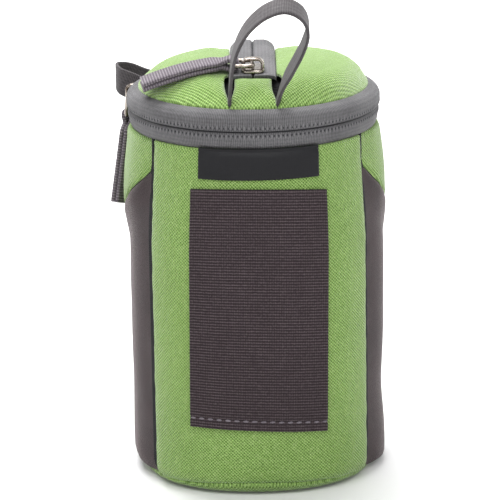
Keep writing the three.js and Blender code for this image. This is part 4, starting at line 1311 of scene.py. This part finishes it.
slope = Matrix.Rotation(math.atan(CREST_CLIMB / (CREST_BACK + ZIP_FRONT)), 4, "X")
top_place = Matrix.Translation((0, TOP_SLIDER_Y, float(crest_height(TOP_SLIDER_Y)))) @ slope
out = Vector(outward(BAND_SLIDER_ANGLE))
up = Vector(UP)
band_place = Matrix((up, out.cross(up), out)).transposed().to_4x4()
band_place.translation = Vector(around(BAND_RADIUS, BAND_SLIDER_ANGLE, SEAM_HEIGHT))
lean = Matrix.Rotation(math.radians(BAND_PULL_LEAN), 4, "Y")
for name, place, lying, bend, roll in (
    ("top", top_place, Matrix.Identity(4), top_bend, TOP_TAB_ROLL),
    ("band", band_place, lean, band_bend, 0),
):
    parts = [moved(part, place) for part in slider_parts()]
    add_piece(f"{name}_slider_metal", parts, "metal", [f"{name}_zip_slider"], f"{name}_slider")
    hang = place @ Matrix.Translation((0, 0, PIVOT_HEIGHT)) @ lying
    link, tab = [moved(part, hang) for part in (link_part(), tab_part(bend, roll))]
    body = f"{name}_puller"
    add_piece(f"{name}_link_metal", [link], "metal", [f"{name}_pull_link"], body)
    flat = (TAB_WIDTH * MM, 0.073)
    add_sheet(f"{name}_tab", tab, "puller_webbing", [f"{name}_pull_tab"], flat, body, held="folded")

for node in ("band_zip_closed_stop", "band_zip_open_stop", "back_zip_foot_stop", "lid_zip_front_stop"):
    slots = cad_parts[node].data.materials
    slots.clear()
    slots.append(materials["metal"])

# Stage, light and camera
floor_mesh = bpy.data.meshes.new("floor")
floor_mesh.from_pydata([(-4, -3, 0), (4, -3, 0), (4, 5, 0), (-4, 5, 0)], [], [(0, 1, 2, 3)])
floor = bpy.data.objects.new("floor", floor_mesh)
bpy.context.scene.collection.objects.link(floor)

FLOOR_GREY = (0.75, 0.75, 0.75, 1)
FLOOR_GLOW = (0.05, 1.0)  # what the camera sees of the floor's own light near the object and far away
FLOOR_FADE = (0.3, 1.3)  # the two distances in metres
ground = Surface("floor")
distance = ground.node("VectorMath", {0: ground.solid}, "Value", operation="LENGTH")
glow = ground.times(ground.seen(), ground.ramp(distance, *FLOOR_FADE, *FLOOR_GLOW))
ground.finish(Base_Color=FLOOR_GREY, Roughness=0.9, Emission_Color=WHITE, Emission_Strength=glow)
floor_mesh.materials.append(materials["floor"])

WORLD_LIGHT = 0.3
world = bpy.data.worlds.new("studio")
bpy.context.scene.world = world
world.use_nodes = True
sky = Graph(world.node_tree)
backdrop = sky.tree.nodes["Background"].inputs
sky.set(backdrop["Color"], WHITE)
sky.set(backdrop["Strength"], sky.ramp(sky.seen(), 0.0, 1.0, WORLD_LIGHT, 1.0))


def add_light(name, place, aim, size, power):
    light = bpy.data.lights.new(name, "AREA")
    light.shape = "DISK"
    light.size = size
    light.energy = power
    lamp = bpy.data.objects.new(name, light)
    lamp.location = place
    lamp.rotation_euler = (Vector(aim) - Vector(place)).to_track_quat("-Z", "Y").to_euler()
    bpy.context.scene.collection.objects.link(lamp)


TARGET = (0, 0, 0.1)
add_light("key", (-0.3, -1.0, 1.45), TARGET, 0.9, 10.8)
add_light("fill", (0.45, -1.0, 1.2), TARGET, 0.9, 7.2)
add_light("top", (-0.2, 0.65, 1.62), TARGET, 1.3, 48)
add_light("left_rim", (-1.0, 0.9, 0.5), TARGET, 0.7, 5)
add_light("right_rim", (1.0, 0.9, 0.5), TARGET, 0.7, 5)

CAMERA_PLACE = (-0.0022, -1.2037, 0.4242)
CAMERA_PITCH = 15.65
CAMERA_ROLL = -0.9
CAMERA_LENS = 225
camera_data = bpy.data.cameras.new("camera")
camera_data.lens = CAMERA_LENS
camera_data.sensor_width = 36
camera_data.clip_start = 0.05
camera_data.clip_end = 20
camera = bpy.data.objects.new("camera", camera_data)
pitch = Matrix.Rotation(math.radians(90 - CAMERA_PITCH), 4, "X")
roll = Matrix.Rotation(math.radians(CAMERA_ROLL), 4, "Z")
camera.matrix_world = Matrix.Translation(CAMERA_PLACE) @ pitch @ roll
bpy.context.scene.collection.objects.link(camera)
bpy.context.scene.camera = camera
bpy.context.scene.view_settings.view_transform = "Standard"
